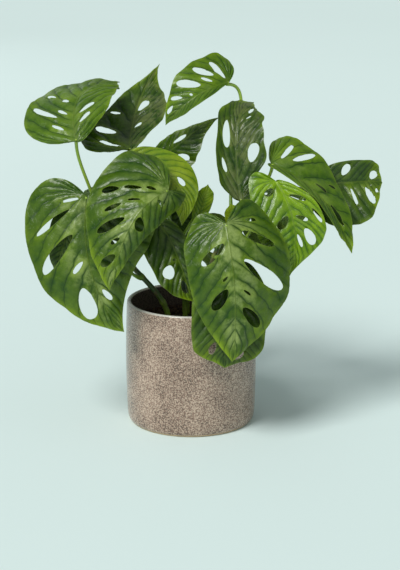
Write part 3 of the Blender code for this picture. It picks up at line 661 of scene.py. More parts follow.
def blade_relief(leaf, flat, facts, sizes, phase, field):
    """How far the sheet is lifted, and how far the veins stand out of its under side, in millimetres.

    lift = quilt * |sin(pi * veins)|^0.8 * fades + wave * share^2 * ripple + crinkle * lumps - groove * bell,
    where ripple is two sines of the vein count, and a narrower bell raises the midrib in its groove;
    under = a bell along the midrib, thinner towards the tip, and 0.3 * (1 - pillow)^6 at the side veins.
    """
    count, share, reach, _ = facts.T
    out = np.abs(flat[:, 1])
    narrow = np.minimum(1, np.where(flat[:, 1] >= 0, leaf.width[0], leaf.width[1]) / FULL_WIDTH)
    pillow = np.abs(np.sin(np.pi * count))
    spread = ease(share, 0.02, 0.2) * np.where(reach > 0, 1, ease(share, 0.1, 0.7)) * ease(1 - reach, 0, 0.2)
    lift = sizes.quilt * narrow * pillow ** PILLOW_POWER * spread * (1 - PILLOW_FADE * ease(share, 0.7, 1))
    fast, slow = WAVE_PACE
    ripple = np.sin(count * fast + phase + (flat[:, 1] < 0)) + WAVE_SHARE * np.sin(count * slow + 2 * phase)
    lift = lift + sizes.wave * share ** 2 * ripple * narrow * ease(1 - reach, 0, 0.15)
    lift = lift - sizes.groove * bump(out, GROOVE_REACH)
    lift = lift + GROOVE_RISE * sizes.groove * bump(out, sizes.rib / 2)
    rough = sizes.crinkle * leaf.crinkle * ease(out, 0.5, 7)
    lift = lift + rough * lumps(flat[:, 0], flat[:, 1], CRINKLE_WAVES, field)
    midrib = RIB_STAND * sizes.rib * (1 - RIB_TAPER * reach) * bump(out, sizes.rib * 0.6)
    return lift, midrib + VEIN_STAND * (1 - share) * (1 - pillow) ** 6 * spread


def two_skins(faces, number):
    """Triangles of a sheet, of its underside, number points further on, and of a wall at each free edge."""
    edges = np.vstack([faces[:, (0, 1)], faces[:, (1, 2)], faces[:, (2, 0)]])
    there = edges[:, 0] * number + edges[:, 1]
    free = edges[~np.isin(there, edges[:, 1] * number + edges[:, 0])]
    a, b = free[:, 1], free[:, 0]
    wall = np.vstack([np.stack([a, b, b + number], -1), np.stack([a, b + number, a + number], -1)])
    return np.vstack([faces, faces[:, ::-1] + number, wall])


def blade_mesh(name, leaf, sizes):
    """A blade: its sheet bent and lifted by its relief, with skins at lift + t/2 and lift - t/2 - veins."""
    length = rib_length(spine(leaf)[0])
    flat, faces, facts = whole_blade(leaf, length, sizes)
    phase = sum(ord(letter) for letter in name) % 7
    field = np.random.default_rng(phase + len(name))
    drift = sizes.drift * lumps(flat[:, 0], flat[:, 1], DRIFT_WAVES, field)
    facts[:, 0] += drift * ease(facts[:, 1], 0, 0.3)
    lift, under = blade_relief(leaf, flat, facts, sizes, phase, field)
    place, normal = bend(leaf, flat, sizes.crease)
    top = place + normal * (lift + sizes.thickness / 2)[:, None]
    low = place + normal * (lift - sizes.thickness / 2 - under)[:, None]
    count, share, reach, away = facts.T
    # Olive tint out to a share of the width on each side: partly painted backlight through the blade, partly
    # olive patches.
    olive_and_backlight_reach = np.where(flat[:, 1] >= 0, leaf.stale[0], leaf.stale[1])
    stale = np.where(olive_and_backlight_reach > 0, 1 - ease(share, olive_and_backlight_reach - OLIVE_AND_BACKLIGHT_SOFT, olive_and_backlight_reach + OLIVE_AND_BACKLIGHT_SOFT), 0)
    drawn = {
        "vein": count, "share": share, "reach": reach, "rim": np.minimum(away, RIM_LIMIT),
        "out": np.abs(flat[:, 1]), "stale": stale,
    }
    drawn = {key: np.tile(values, 2) for key, values in drawn.items()}
    drawn["under"] = np.repeat([0.0, 1.0], len(flat))
    return make_mesh("leaf_" + name, np.vstack([top, low]), two_skins(faces, len(flat)), drawn)


# Meshes


def make_mesh(name, points, faces, facts=None):
    """A smooth-shaded object at the origin: points in millimetres, triangles and named values a point."""
    mesh = bpy.data.meshes.new(name)
    mesh.vertices.add(len(points))
    mesh.vertices.foreach_set("co", (points * MM).astype(np.float32).ravel())
    mesh.loops.add(faces.size)
    mesh.loops.foreach_set("vertex_index", faces.astype(np.int32).ravel())
    mesh.polygons.add(len(faces))
    mesh.polygons.foreach_set("loop_start", np.arange(0, faces.size, 3, dtype=np.int32))
    mesh.update(calc_edges=True)
    for key, values in (facts or {}).items():
        layer = mesh.attributes.new(key, "FLOAT", "POINT")
        layer.data.foreach_set("value", np.asarray(values, np.float32))
    mesh.shade_smooth()
    mesh.set_sharp_from_angle(angle=math.radians(SHARP_ANGLE))
    piece = bpy.data.objects.new(name, mesh)
    bpy.context.scene.collection.objects.link(piece)
    return piece


def skin_rings(rings):
    """Triangles over rings of points (ring, place round it), with a fan over each end, facing outwards."""
    count, sides = rings.shape[:2]
    points = np.vstack([rings.reshape(-1, 3), rings[0].mean(axis=0), rings[-1].mean(axis=0)])
    here = np.arange(count * sides).reshape(count, sides)
    there = np.roll(here, -1, axis=1)
    a, b, c, d = here[:-1].ravel(), there[:-1].ravel(), there[1:].ravel(), here[1:].ravel()
    start, end = np.full(sides, count * sides), np.full(sides, count * sides + 1)
    faces = np.vstack([
        np.stack([a, b, c], -1), np.stack([a, c, d], -1),
        np.stack([start, there[0], here[0]], -1), np.stack([end, here[-1], there[-1]], -1),
    ])
    one, two, three = (points[faces[:, i]] for i in range(3))
    if np.einsum("ij,ij->i", one, np.cross(two, three)).sum() < 0:
        faces = faces[:, ::-1]
    return points, faces


def round_route(route, radius, sides, squash=None):
    """Rings round a route: route + r(s, a) * (side * cos a + up * sin a), both square to its direction."""
    tangent = unit(np.gradient(route, axis=0))
    flat = np.linalg.svd(route - route.mean(axis=0))[2][-1]
    side = unit(np.cross(tangent, flat))
    up = np.cross(side, tangent)
    angle = np.linspace(0, 2 * math.pi, sides, endpoint=False)
    spread = np.asarray(radius)[:, None] * (np.ones(sides) if squash is None else squash(angle))
    circle = side[:, None] * np.cos(angle)[:, None] + up[:, None] * np.sin(angle)[:, None]
    return route[:, None] + circle * spread[..., None]


# Materials


class Value:
    """A node's output, so that Python's arithmetic on it adds Math nodes."""

    def __init__(self, finish, socket):
        self.finish = finish
        self.socket = socket

    def maths(self, operation, *values):
        return self.finish.node("ShaderNodeMath", {"operation": operation}, dict(enumerate(values)))

    def __add__(self, other):
        return self.maths("ADD", self, other)

    def __sub__(self, other):
        return self.maths("SUBTRACT", self, other)

    def __mul__(self, other):
        return self.maths("MULTIPLY", self, other)

    def __rsub__(self, other):
        return self.maths("SUBTRACT", other, self)

    __radd__ = __add__
    __rmul__ = __mul__

    def sine(self):
        return self.maths("SINE", self)

    def size(self):
        return self.maths("ABSOLUTE", self)

    def eased(self, low, high):
        """0 below low and 1 above high, smooth between; with low above high it falls instead."""
        inputs = {"Value": self, "From Min": low, "From Max": high}
        return self.finish.node("ShaderNodeMapRange", {"interpolation_type": "SMOOTHSTEP"}, inputs)


class Finish:
    """A material built from nodes: constants sit on the shader's sockets and feed() links what varies."""

    def __init__(self, name, **constants):
        self.material = bpy.data.materials.new(name)
        self.material.use_nodes = True
        self.tree = self.material.node_tree
        self.shader = self.tree.nodes["Principled BSDF"]
        for key, value in constants.items():
            self.shader.inputs[key.replace("_", " ").title().replace("Ior", "IOR")].default_value = value

    def node(self, kind, settings=None, inputs=None, output=0):
        """Adds a node: its settings first, then numbers, colours or links on its sockets."""
        node = self.tree.nodes.new(kind)
        for key, value in (settings or {}).items():
            setattr(node, key, value)
        for key, value in (inputs or {}).items():
            if isinstance(value, Value):
                self.tree.links.new(value.socket, node.inputs[key])
            else:
                node.inputs[key].default_value = value
        return Value(self, node.outputs[output])

    def attribute(self, name):
        return self.node("ShaderNodeAttribute", {"attribute_name": name}, output="Fac")

    def place(self):
        return self.node("ShaderNodeTexCoord", output="Object")

    def height(self):
        return self.node("ShaderNodeSeparateXYZ", inputs={0: self.place()}, output="Z")

    def noise(self, scale, detail=3.0, roughness=0.5, stretch=(1, 1, 1)):
        """Cloudy noise of the given number of lumps a metre, its middle near a half."""
        where = self.node("ShaderNodeMapping", {}, {"Vector": self.place(), "Scale": stretch})
        inputs = {"Vector": where, "Scale": scale, "Detail": detail, "Roughness": roughness}
        return self.node("ShaderNodeTexNoise", {}, inputs)

    def cells(self, scale, feature="DISTANCE_TO_EDGE"):
        inputs = {"Vector": self.place(), "Scale": scale}
        return self.node("ShaderNodeTexVoronoi", {"feature": feature}, inputs)

    def mix(self, one, two, factor):
        """Blend of two linear colours or links. The colours' sockets are 6 and 7, and output 2 is theirs."""
        one, two = (c if isinstance(c, Value) else (*c, 1) for c in (one, two))
        inputs = {"Factor": factor, 6: one, 7: two}
        return self.node("ShaderNodeMix", {"data_type": "RGBA"}, inputs, output=2)

    def bumped(self, height, depth, under=None):
        """A Bump node, its depth in metres, on top of another one where given."""
        inputs = {"Height": height, "Distance": depth}
        if under is not None:
            inputs["Normal"] = under
        return self.node("ShaderNodeBump", {}, inputs)

    def feed(self, **links):
        for key, value in links.items():
            self.tree.links.new(value.socket, self.shader.inputs[key.replace("_", " ").title()])
        return self.material


def leaf_finish(name, light, dark, painted_sheen, colours):
    """A leaf's skin: mottled green, painted light on pillows and painted shade in vein furrows, painted
    sheen, olive tint partly painted backlight, pale midrib, painted rim highlight, dull underside.
    """
    finish = Finish("leaf_" + name, coat_weight=colours.gloss, coat_roughness=0.2, specular_ior_level=0.25)
    vein, share, reach, rim, out, under = (
        finish.attribute(key) for key in ("vein", "share", "reach", "rim", "out", "under"))
    pillow = (vein * math.pi).sine().size()
    patch = finish.noise(30, 3, 0.6).eased(0.38, 0.66)
    cloud = finish.noise(170, 4, 0.6)
    net = finish.cells(230)
    blade = finish.mix(dark, light, patch * 0.6 + cloud.eased(0.3, 0.75) * 0.4)
    # Painted light: the raised pillows between the side veins are lightened.
    blade = finish.mix(blade, light, pillow.eased(0.4, 1) * 0.35)
    # Painted sheen: grey-green patches near the midrib stand in for the soft reflection on the waxy blade.
    sheen_painted = finish.noise(44, 5, 0.62).eased(0.42, 0.6) * share.eased(0.7, 0.1) * pillow.eased(-0.2, 0.8)
    blade = finish.mix(blade, colours.painted_sheen, sheen_painted * painted_sheen)
    # Olive grey: partly painted backlight shining through the blade, partly olive patches.
    stale = finish.attribute("stale") * finish.noise(60, 4, 0.65).eased(0.4, 0.56)
    blade = finish.mix(blade, colours.stale, stale * 0.85)
    ripe = reach.eased(0.5, 1) * share.eased(0.3, 1) * 0.5 + rim.eased(6, 0) * 0.3
    blade = finish.mix(blade, colours.ripe, ripe * patch.eased(-0.6, 1))
    inner = share.eased(0.02, 0.15) * share.eased(1.08, 0.8)
    # Painted shade: darker near the side veins and darkest in their furrows.
    blade = finish.mix(blade, dark, pillow.eased(0.5, 0.0) * inner * 0.35)
    blade = finish.mix(blade, colours.furrow, pillow.eased(0.2, 0.04) * inner * 0.7)
    # Painted shade along the finer veins and the fine net of veins.
    finer = (vein * 3 * math.pi).sine().size().eased(0.2, 0.0) * inner * cloud.eased(0.35, 0.65)
    blade = finish.mix(blade, colours.furrow, finer * 0.22 + net.eased(0.05, 0.0) * 0.2)
    speck = finish.cells(620, "F1").eased(0.32, 0.1) * cloud.eased(0.5, 0.7)
    blade = finish.mix(blade, light, speck * 0.25)
    midrib = out.eased(0.75, 0.3) * reach.eased(1.1, 0.7)
    blade = finish.mix(blade, colours.midrib, midrib * 0.4)
    # Painted highlight: a thin pale rim along the margin and the holes' rims.
    blade = finish.mix(blade, colours.rim, rim.eased(0.5, 0.1) * 0.5)
    veins = pillow.eased(0.2, 0.0) * share.eased(1.0, 0.3)
    back = finish.mix(blade, colours.underside, 0.55)
    back = finish.mix(back, colours.midrib, veins * 0.5 + midrib * 0.4)
    rough = finish.noise(60, 2).eased(0.3, 0.7) * 0.12 + under * 0.24 + 0.3
    bumps = finish.bumped(net.eased(0.0, 0.12), 0.00008)
    bumps = finish.bumped(cloud, 0.0001, bumps)
    return finish.feed(base_color=finish.mix(blade, back, under), roughness=rough, normal=bumps)


def stalk_finish(name, low, high, sheath):
    """A petiole's skin: its low end darker, fine lengthwise streaks and a few specks."""
    finish = Finish(name, coat_weight=0.15, coat_roughness=0.35)
    along = finish.attribute("along")
    turn = finish.attribute("turn")
    streak = (turn * 11 + finish.noise(40, 2) * 5).sine() * 0.5 + 0.5
    colour = finish.mix(low, high, along.eased(0.0, 0.55))
    colour = finish.mix(colour, sheath, streak * 0.28)
    fleck = finish.noise(900, 2).eased(0.62, 0.7)
    colour = finish.mix(colour, sheath, fleck * 0.5)
    bumps = finish.bumped(streak * 0.6 + finish.noise(600, 2) * 0.4, 0.00012)
    return finish.feed(base_color=colour, roughness=finish.noise(90, 2) * 0.2 + 0.34, normal=bumps)


def bark_finish(colours):
    """The stems' skin: dark green with brown corky patches, paler rings at the nodes."""
    finish = Finish("stem_skin", coat_weight=0.1, coat_roughness=0.4)
    ring = finish.attribute("ring")
    cork = finish.noise(160, 4, 0.65).eased(0.48, 0.62)
    colour = finish.mix(colours.stem, colours.cork, cork * 0.75)
    colour = finish.mix(colour, colours.petiole, (finish.height() * 1000).eased(140, 112) * 0.6)
    colour = finish.mix(colour, colours.petiole, ring * 0.45)
    streak = finish.noise(1, 3, 0.6, (420, 420, 60))
    colour = finish.mix(colour, colours.cork, streak.eased(0.5, 0.7) * 0.4)
    bumps = finish.bumped(streak * 0.6 + cork * 0.4, 0.0003)
    return finish.feed(base_color=colour, roughness=cork * 0.25 + 0.42, normal=bumps)


def glaze_finish(colours):
    """The pot's speckled glaze: pale and dark worms on grey-brown, painted shade inside, a pale line on the
    lip, a bare foot.
    """
    finish = Finish("glaze", coat_weight=0.45, coat_roughness=0.16, specular_ior_level=0.4)
    height = finish.height() * 1000
    warp = finish.noise(500, 2, 0.5)
    worm = finish.noise(760, 2.5, 0.62).eased(0.46, 0.54)
    dark = finish.noise(590, 3, 0.62, (1, 1, 1.2)).eased(0.52, 0.59)
    cloud = finish.noise(34, 3, 0.6).eased(0.32, 0.7)
    ground = finish.mix(colours.clay_dark, colours.clay, cloud * 0.7 + warp.eased(0.3, 0.7) * 0.3)
    wall = finish.mix(ground, colours.fleck, worm * (cloud * 0.35 + 0.65))
    wall = finish.mix(wall, colours.speck, dark * (1.0 - cloud * 0.5))
    # Painted shade: the glaze inside the pot is darkened where the inside lies in shadow.
    inner = finish.attribute("inner")
    inside = finish.mix(colours.inside, ground, worm * 0.22)
    wall = finish.mix(wall, inside, inner)
    wall = finish.mix(wall, colours.lip, finish.attribute("lip"))
    bare = height.eased(2.6, 1.7)
    wall = finish.mix(wall, colours.foot, bare)
    rough = worm * 0.1 + bare * 0.4 + 0.27
    bumps = finish.bumped(worm * 0.5 - dark * 0.3, 0.0001)
    bumps = finish.bumped(finish.noise(28, 2), 0.0006, bumps)
    return finish.feed(base_color=wall, roughness=rough, normal=bumps, coat_weight=0.45 - bare * 0.45)


def soil_finish(colours):
    """Damp potting mix: dark brown crumbs, each a little lighter or redder than the next."""
    finish = Finish("potting_mix", specular_ior_level=0.25)
    crumb = finish.attribute("crumb")
    grain = finish.noise(700, 4, 0.7)
    colour = finish.mix(colours.wet, colours.dry, crumb * 0.7 + grain.eased(0.4, 0.8) * 0.3)
    return finish.feed(base_color=colour, roughness=grain * 0.2 + 0.75, normal=finish.bumped(grain, 0.0005))


def floor_finish(colour):
    """The plain pale floor, with a very faint cloudiness."""
    finish = Finish("floor", specular_ior_level=0.2)
    tint = finish.mix(colour, tuple(0.97 * c for c in colour), finish.noise(1.5, 2))
    return finish.feed(base_color=tint, roughness=finish.noise(3, 2) * 0.1 + 0.8)


# Sizes and colours a user may change


def size_prop(name, text, default, **more):
    return bpy.props.FloatProperty(name=name, description=text, default=default, **more)


def count_prop(name, text, default, least):
    return bpy.props.IntProperty(name=name, description=text, default=default, min=least)


def colour_prop(name, text, *screen):
    return bpy.props.FloatVectorProperty(
        name=name, description=text, default=paint(*screen), size=3, subtype="COLOR", min=0, max=1)


class VINE_PG_blade(bpy.types.PropertyGroup):
    """Sizes of the leaf blades."""

    cell: size_prop("Cell", "Spacing of the blade's grid in millimetres", 1.5, min=0.5)
    gather: size_prop("Gather", "How much the columns crowd towards the midrib", 1.2, min=1)
    egg: size_prop("Egg", "How much wider a hole is at its outer end", 0.22, min=0, max=0.6)
    thickness: size_prop("Thickness", "Blade thickness in millimetres", 0.5, min=0.1)
    quilt: size_prop("Quilt", "Rise of the blade between side veins in millimetres", 1.4, min=0)
    wave: size_prop("Wave", "Rise of the waves at the margin in millimetres", 1.3, min=0)
    groove: size_prop("Groove", "Depth of the furrow along the midrib in millimetres", 0.8, min=0)
    rib: size_prop("Midrib", "Width of the midrib in millimetres", 1.2, min=0.2)
    crease: size_prop("Crease", "Softness of the fold at the midrib in millimetres", 1.6, min=0.1)
    vein_pitch: size_prop("Vein pitch", "Spacing of side veins, as a share of the margin", 0.068, min=0.01)
    vein_sweep: size_prop("Vein sweep", "Least run of side veins to the tip, as a share of the margin", 0.05)
    drift: size_prop("Drift", "How far side veins wander, as a share of their spacing", 0.12, min=0)
    crinkle: size_prop("Crinkle", "Height of the lumps all over in millimetres", 0.32, min=0)
    gloss: size_prop("Gloss", "Strength of the leaf's waxy coat", 0.17, min=0, max=1)
    fresh_light: colour_prop("Fresh light", "Light patches of a fresh leaf", 90, 122, 13)
    fresh_dark: colour_prop("Fresh dark", "Dark patches of a fresh leaf", 42, 77, 5)
    deep_light: colour_prop("Deep light", "Light patches of an older leaf", 63, 93, 14)
    deep_dark: colour_prop("Deep dark", "Dark patches of an older leaf", 24, 51, 5)
    # The silver leaves carry the most painted sheen near the midrib.
    silver_light: colour_prop("Silver light", "Light patches of a dusty leaf", 79, 107, 19)
    silver_dark: colour_prop("Silver dark", "Dark patches of a dusty leaf", 34, 68, 6)
    # The lime colours are the leaf green as it looks sunlit: painted light.
    lime_light: colour_prop("Lime light", "Light patches of a sunlit leaf", 128, 164, 14)
    lime_dark: colour_prop("Lime dark", "Dark patches of a sunlit leaf", 54, 97, 6)
    yellow_light: colour_prop("Yellow light", "Light patches of a yellowing leaf", 140, 160, 34)
    yellow_dark: colour_prop("Yellow dark", "Dark patches of a yellowing leaf", 84, 120, 20)
    ripe: colour_prop("Ripe", "Yellow-green towards the tip", 134, 162, 16)
    # Painted sheen: how much grey-green sheen is painted near the midrib, and its colour.
    sheen_painted: size_prop("Dusty", "How much grey-green shows near the midrib of dusty leaves", 0.8, min=0, max=1)
    painted_sheen: colour_prop("Dust", "Grey-green patches near the midrib", 140, 158, 88)
    # Olive grey tint: partly painted backlight through the blade, partly olive patches.
    stale: colour_prop("Stale", "Olive grey of an ageing blade", 88, 100, 52)
    # Furrow colour: painted shade in the furrows over the side veins and along the finer veins.
    furrow: colour_prop("Furrow", "Furrows over the side veins", 20, 52, 6)
    midrib: colour_prop("Midrib", "The midrib", 92, 111, 26)
    # Rim colour: a painted highlight along the margin and the holes' rims.
    rim: colour_prop("Rim", "Thin rim of the margin and the holes", 118, 138, 63)
    underside: colour_prop("Underside", "Underside of the leaves", 95, 115, 38)


class VINE_PG_stalk(bpy.types.PropertyGroup):
    """Sizes and colours of the stems and petioles."""

    steps: count_prop("Steps", "Rings along a petiole", 56, 8)
    sides: count_prop("Sides", "Points round a petiole", 20, 8)
    radius: size_prop("Radius", "Radius of a petiole in millimetres", 1.7, min=0.5)
    flare: size_prop("Flare", "Extra radius where a petiole leaves the stem, in millimetres", 0.8, min=0)
    knee: size_prop("Knee", "Extra radius where a petiole meets the blade, in millimetres", 0.3, min=0)
    node_rise: size_prop("Node rise", "How much a stem swells at a node, as a share", 0.2, min=0)
    petiole: colour_prop("Petiole", "Upper part of a petiole", 152, 182, 58)
    petiole_low: colour_prop("Petiole low", "Lower part of a petiole", 116, 150, 48)
    sheath: colour_prop("Sheath", "Dark streaks on a petiole", 92, 128, 34)
    stem: colour_prop("Stem", "Green of the stems", 50, 80, 30)
    cork: colour_prop("Cork", "Corky patches on the stems", 96, 88, 54)


class VINE_PG_pot(bpy.types.PropertyGroup):
    """Sizes and colours of the pot."""

    wall: size_prop("Wall", "Thickness of the pot's wall in millimetres", 4.5, min=1)
    floor: size_prop("Floor", "Thickness of the pot's floor in millimetres", 6.0, min=1)
    heel: size_prop("Heel", "Radius of the rounded heel in millimetres", 8.0, min=1)
    sides: count_prop("Sides", "Points round the pot", 256, 24)
    clay: colour_prop("Clay", "Lighter ground of the glaze", 150, 123, 107)
    clay_dark: colour_prop("Clay dark", "Darker ground of the glaze", 118, 94, 80)
    fleck: colour_prop("Fleck", "Pale worms in the glaze", 204, 181, 160)
    speck: colour_prop("Speck", "Dark specks in the glaze", 80, 64, 54)
    # Inside colour: the glaze inside the pot, darkened as painted shade.
    inside: colour_prop("Inside", "Glaze inside the pot", 72, 66, 60)
    lip: colour_prop("Lip", "Line on the rim", 196, 194, 184)
    foot: colour_prop("Foot", "Bare clay under the glaze", 205, 176, 140)


class VINE_PG_soil(bpy.types.PropertyGroup):
    """Sizes and colours of the potting mix."""

    crumbs: count_prop("Crumbs", "How many loose crumbs lie on top", 1500, 0)
    crumb: size_prop("Crumb", "Largest crumb's radius in millimetres", 2.4, min=0.2)
    rough: size_prop("Roughness", "Height of the lumps in millimetres", 1.1, min=0)
    wet: colour_prop("Wet", "Damp mix", 34, 24, 18)
    dry: colour_prop("Dry", "Drier crumbs", 92, 68, 50)


class VINE_PG_stage(bpy.types.PropertyGroup):
    """Floor, lights and camera."""

    floor: colour_prop("Floor", "The plain pale floor", 219, 236, 234)
    sky: colour_prop("Sky", "Light from all round", 222, 232, 232)
    sky_power: size_prop("Sky power", "Strength of the light from all round", 0.4, min=0)
    sun_power: size_prop("Sun power", "Strength of the soft daylight from the upper left", 2.6, min=0)
    sun_spread: size_prop("Sun spread", "Breadth of the daylight", math.radians(24), min=0, unit="ROTATION")
    window_power: size_prop("Window power", "Watts of the square light in front", 4.5, min=0, unit="POWER")
    fill_power: size_prop("Fill power", "Watts of the square light behind", 4.0, min=0, unit="POWER")
    lens: size_prop("Lens", "Focal length of the camera in millimetres", 105.47, min=1)


# Pieces


def stem_route(stem, share):
    """Places along a stem: its Bezier curve, lifted to the soil."""
    return bezier(stem.route, share) + (0, 0, STEM_GROUND)


def petiole_route(leaf, steps):
    """A petiole's Bezier curve from its stem's side to the blade's underside, run on into both."""
    points, up = spine(leaf)
    along = unit(points[1] - points[0])
    up = unit(up - along * along.dot(up))
    arrive = unit(along * leaf.arrive[0] + up * leaf.arrive[1])
    lean = math.sqrt(max(0.0, 1 - arrive.dot(up) ** 2))
    join = points[0] + along * JOINT_INSET
    droop = math.sin(math.radians(max(0, -min(leaf.fold))))
    end = join - up * (CAD_BLADE / 2 + GAP + PETIOLE_RADIUS * (lean + DROOP_ROOM * droop))
    stem = STEMS[leaf.stem]
    foot = stem_route(stem, leaf.node)
    rise = unit(bezier_slope(stem.route, leaf.node))
    out = end - foot
    out = unit(out - rise * out.dot(rise))
    start = foot + out * (stem.radius + GAP + PETIOLE_RADIUS * LEAVE_RISE)
    leave = unit(out * math.sqrt(1 - LEAVE_RISE ** 2) + rise * LEAVE_RISE)
    pull = np.linalg.norm(end - start) * PETIOLE_EASE
    route = bezier((start, start + leave * pull, end - arrive * pull, end), np.linspace(0, 1, steps))
    return np.vstack([foot + out * stem.radius * FOOT_SUNK, route, join])


def along_route(route):
    """Distance of each place along a route, in millimetres."""
    return np.concatenate([[0], np.cumsum(np.linalg.norm(np.diff(route, axis=0), axis=1))])


def add_petiole(name, leaf, sizes, material):
    """A round stalk: radius + flare * bell at the stem + knee * bell at the blade, grooved on top."""
    route = petiole_route(leaf, sizes.steps)
    run = along_route(route)
    radius = sizes.radius + sizes.flare * bump(run, FLARE_REACH)
    radius += sizes.knee * bump(run[-1] - run, KNEE_REACH)
    radius[-1] = PETIOLE_END
    rings = round_route(
        route, radius, sizes.sides,
        lambda angle: 1 - CHANNEL_DEPTH * bump(angle - math.pi / 2, CHANNEL_WIDTH))
    points, faces = skin_rings(rings)
    turn = np.abs(np.linspace(-1, 1, sizes.sides, endpoint=False))
    facts = {
        "along": np.append(np.repeat(run / run[-1], sizes.sides), (0, 1)),
        "turn": np.append(np.tile(turn, len(route)), (0, 0)),
    }
    piece = make_mesh("stalk_" + name, points, faces, facts)
    piece.data.materials.append(material)
    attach(piece, "root")
    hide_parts("petiole_" + name)


def add_stem(name, stem, sizes, material):
    """A stem: radius = foot radius * (1 - taper * s) * (1 + rise * bells at its nodes), its end rounded."""
    share = np.linspace(STEM_START, 1, STEM_RINGS)
    route = stem_route(stem, share)
    run = along_route(route)
    nodes = [leaf.node for leaf in LEAVES.values() if leaf.stem == name] + [FIRST_NODE]
    bells = np.max([bump(run - np.interp(node, share, run), NODE_REACH) for node in nodes], axis=0)
    short = 1 - np.clip((run[-1] - run) / stem.radius, 0, 1)
    end = np.sqrt(np.clip(1 - short ** 2, END_LEAST, 1))
    radius = stem.radius * (1 - STEM_TAPER * share) * (1 + sizes.node_rise * bells) * end
    points, faces = skin_rings(round_route(route, radius, STEM_SIDES))
    facts = {"ring": np.append(np.repeat(bells, STEM_SIDES), (0, 0))}
    piece = make_mesh(name + "_skin", points, faces, facts)
    piece.data.materials.append(material)
    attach(piece, "root")
    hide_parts(name)


def pot_profile(sizes):
    """Radius and height of the pot's outline from under its middle, over the lip, to the middle inside.

    The wall swells as rim + belly * sin(pi * height share). The heel and the corner inside are quarter
    rounds and the lip is a half round. Also gives how many points come before the lip.
    """
    lip = sizes.wall / 2
    bore = POT_RIM - sizes.wall
    base = sizes.floor + sizes.heel
    raised, ring, edge = (POT_FOOT - inset for inset in FOOT_RING)
    under = [(MIDDLE, FOOT_LIFT), (raised, FOOT_LIFT), (ring, 0), (edge, 0)]
    turn = np.linspace(0, math.pi / 2, HEEL_STEPS)
    heel = np.stack([POT_FOOT + (POT_RIM - POT_FOOT) * np.sin(turn), sizes.heel * (1 - np.cos(turn))], -1)
    rise = sizes.heel + np.linspace(0, 1, WALL_STEPS)[1:-1] * (POT_HEIGHT - lip - sizes.heel)
    wall = np.stack([POT_RIM + (POT_RADIUS - POT_RIM) * np.sin(math.pi * rise / POT_HEIGHT), rise], -1)
    turn = np.linspace(0, math.pi, LIP_STEPS)
    over = np.stack([POT_RIM - lip + lip * np.cos(turn), POT_HEIGHT - lip + lip * np.sin(turn)], -1)
    inner = np.stack([np.full(BORE_STEPS, bore), np.linspace(POT_HEIGHT - 2 * lip, base, BORE_STEPS)], -1)
    turn = np.linspace(0, math.pi / 2, CORNER_STEPS)[1:]
    corner = np.stack([bore - sizes.heel + sizes.heel * np.cos(turn), base - sizes.heel * np.sin(turn)], -1)
    outline = np.vstack([under, heel, wall, over, inner, corner, [(MIDDLE, sizes.floor)]])
    return outline, len(under) + len(heel) + len(wall)


def add_pot(sizes):
    """The pot: (r cos a, r sin a, z) for each point of the profile."""
    profile, before = pot_profile(sizes)
    angle = np.linspace(0, 2 * math.pi, sizes.sides, endpoint=False)
    radius, height = profile[:, :1], np.repeat(profile[:, 1:], sizes.sides, 1)
    points, faces = skin_rings(np.stack([radius * np.cos(angle), radius * np.sin(angle), height], -1))
    number = np.arange(len(profile)) - before
    line = ease(number, *LINE_IN) * (1 - ease(number, *LINE_OUT))
    facts = {
        key: np.append(np.repeat(values, sizes.sides), (values[0], values[-1]))
        for key, values in (("inner", ease(number, *INSIDE_IN)), ("lip", line))
    }
    piece = make_mesh("glazed_pot", points, faces, facts)
    piece.data.materials.append(glaze_finish(sizes))
    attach(piece, "root")
    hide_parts("pot")


def soil_height(x, y, rough):
    """The soil's surface: its packed top - rough - inset + rough * lumps, the same lumps for every call."""
    waves = lumps(x, y, SOIL_WAVES, np.random.default_rng(SOIL_SEED))
    return GROUND - rough - SOIL_INSET + rough * waves


def twenty_sided():
    """Twelve corners at distance one, (0, 1, golden) in each sign and turn, and triangles of near ones."""
    golden = (1 + 5 ** 0.5) / 2
    pairs = [(0, a, b * golden) for a in (-1, 1) for b in (-1, 1)]
    corners = np.array([np.roll(pair, turn) for turn in range(3) for pair in pairs], float)
    corners = corners / math.hypot(1, golden)
    near = np.linalg.norm(corners[:, None] - corners[None], axis=-1) < NEIGHBOUR
    faces = np.array([
        trio for trio in combinations(range(len(corners)), 3) if near[np.ix_(trio, trio)].all()])
    one, two, three = (corners[faces[:, i]] for i in range(3))
    inward = np.einsum("ij,ij->i", one, np.cross(two, three)) < 0
    faces[inward] = faces[inward][:, ::-1]
    return corners, faces


def soil_crumbs(sizes):
    """Loose crumbs: twenty-sided solids of random size, each stretched and shaken, spread evenly by r^(1/2).

    Gives places, triangles and a shade for each point.
    """
    draw = np.random.default_rng(CRUMB_SEED)
    corners, faces = twenty_sided()
    number, each = sizes.crumbs, len(corners)
    size = sizes.crumb * draw.uniform(*CRUMB_SIZES, number) ** CRUMB_SKEW
    where = np.sqrt(draw.uniform(0, 1, number)) * (SOIL_RADIUS - CRUMB_MARGIN)
    turn = draw.uniform(0, 2 * math.pi, number)
    x, y = where * np.cos(turn), where * np.sin(turn)
    middle = np.stack([x, y, soil_height(x, y, sizes.rough) + size * CRUMB_RISE], -1)
    stretch = draw.uniform(*CRUMB_STRETCH, (number, 1, 3)) * size[:, None, None]
    places = corners * stretch * draw.uniform(*CRUMB_SHAKE, (number, each, 1)) + middle[:, None]
    faces = faces[None] + each * np.arange(number)[:, None, None]
    shade = np.repeat(draw.uniform(0, 1, number) ** 2, each)
    return places.reshape(-1, 3), faces.reshape(-1, 3), shade


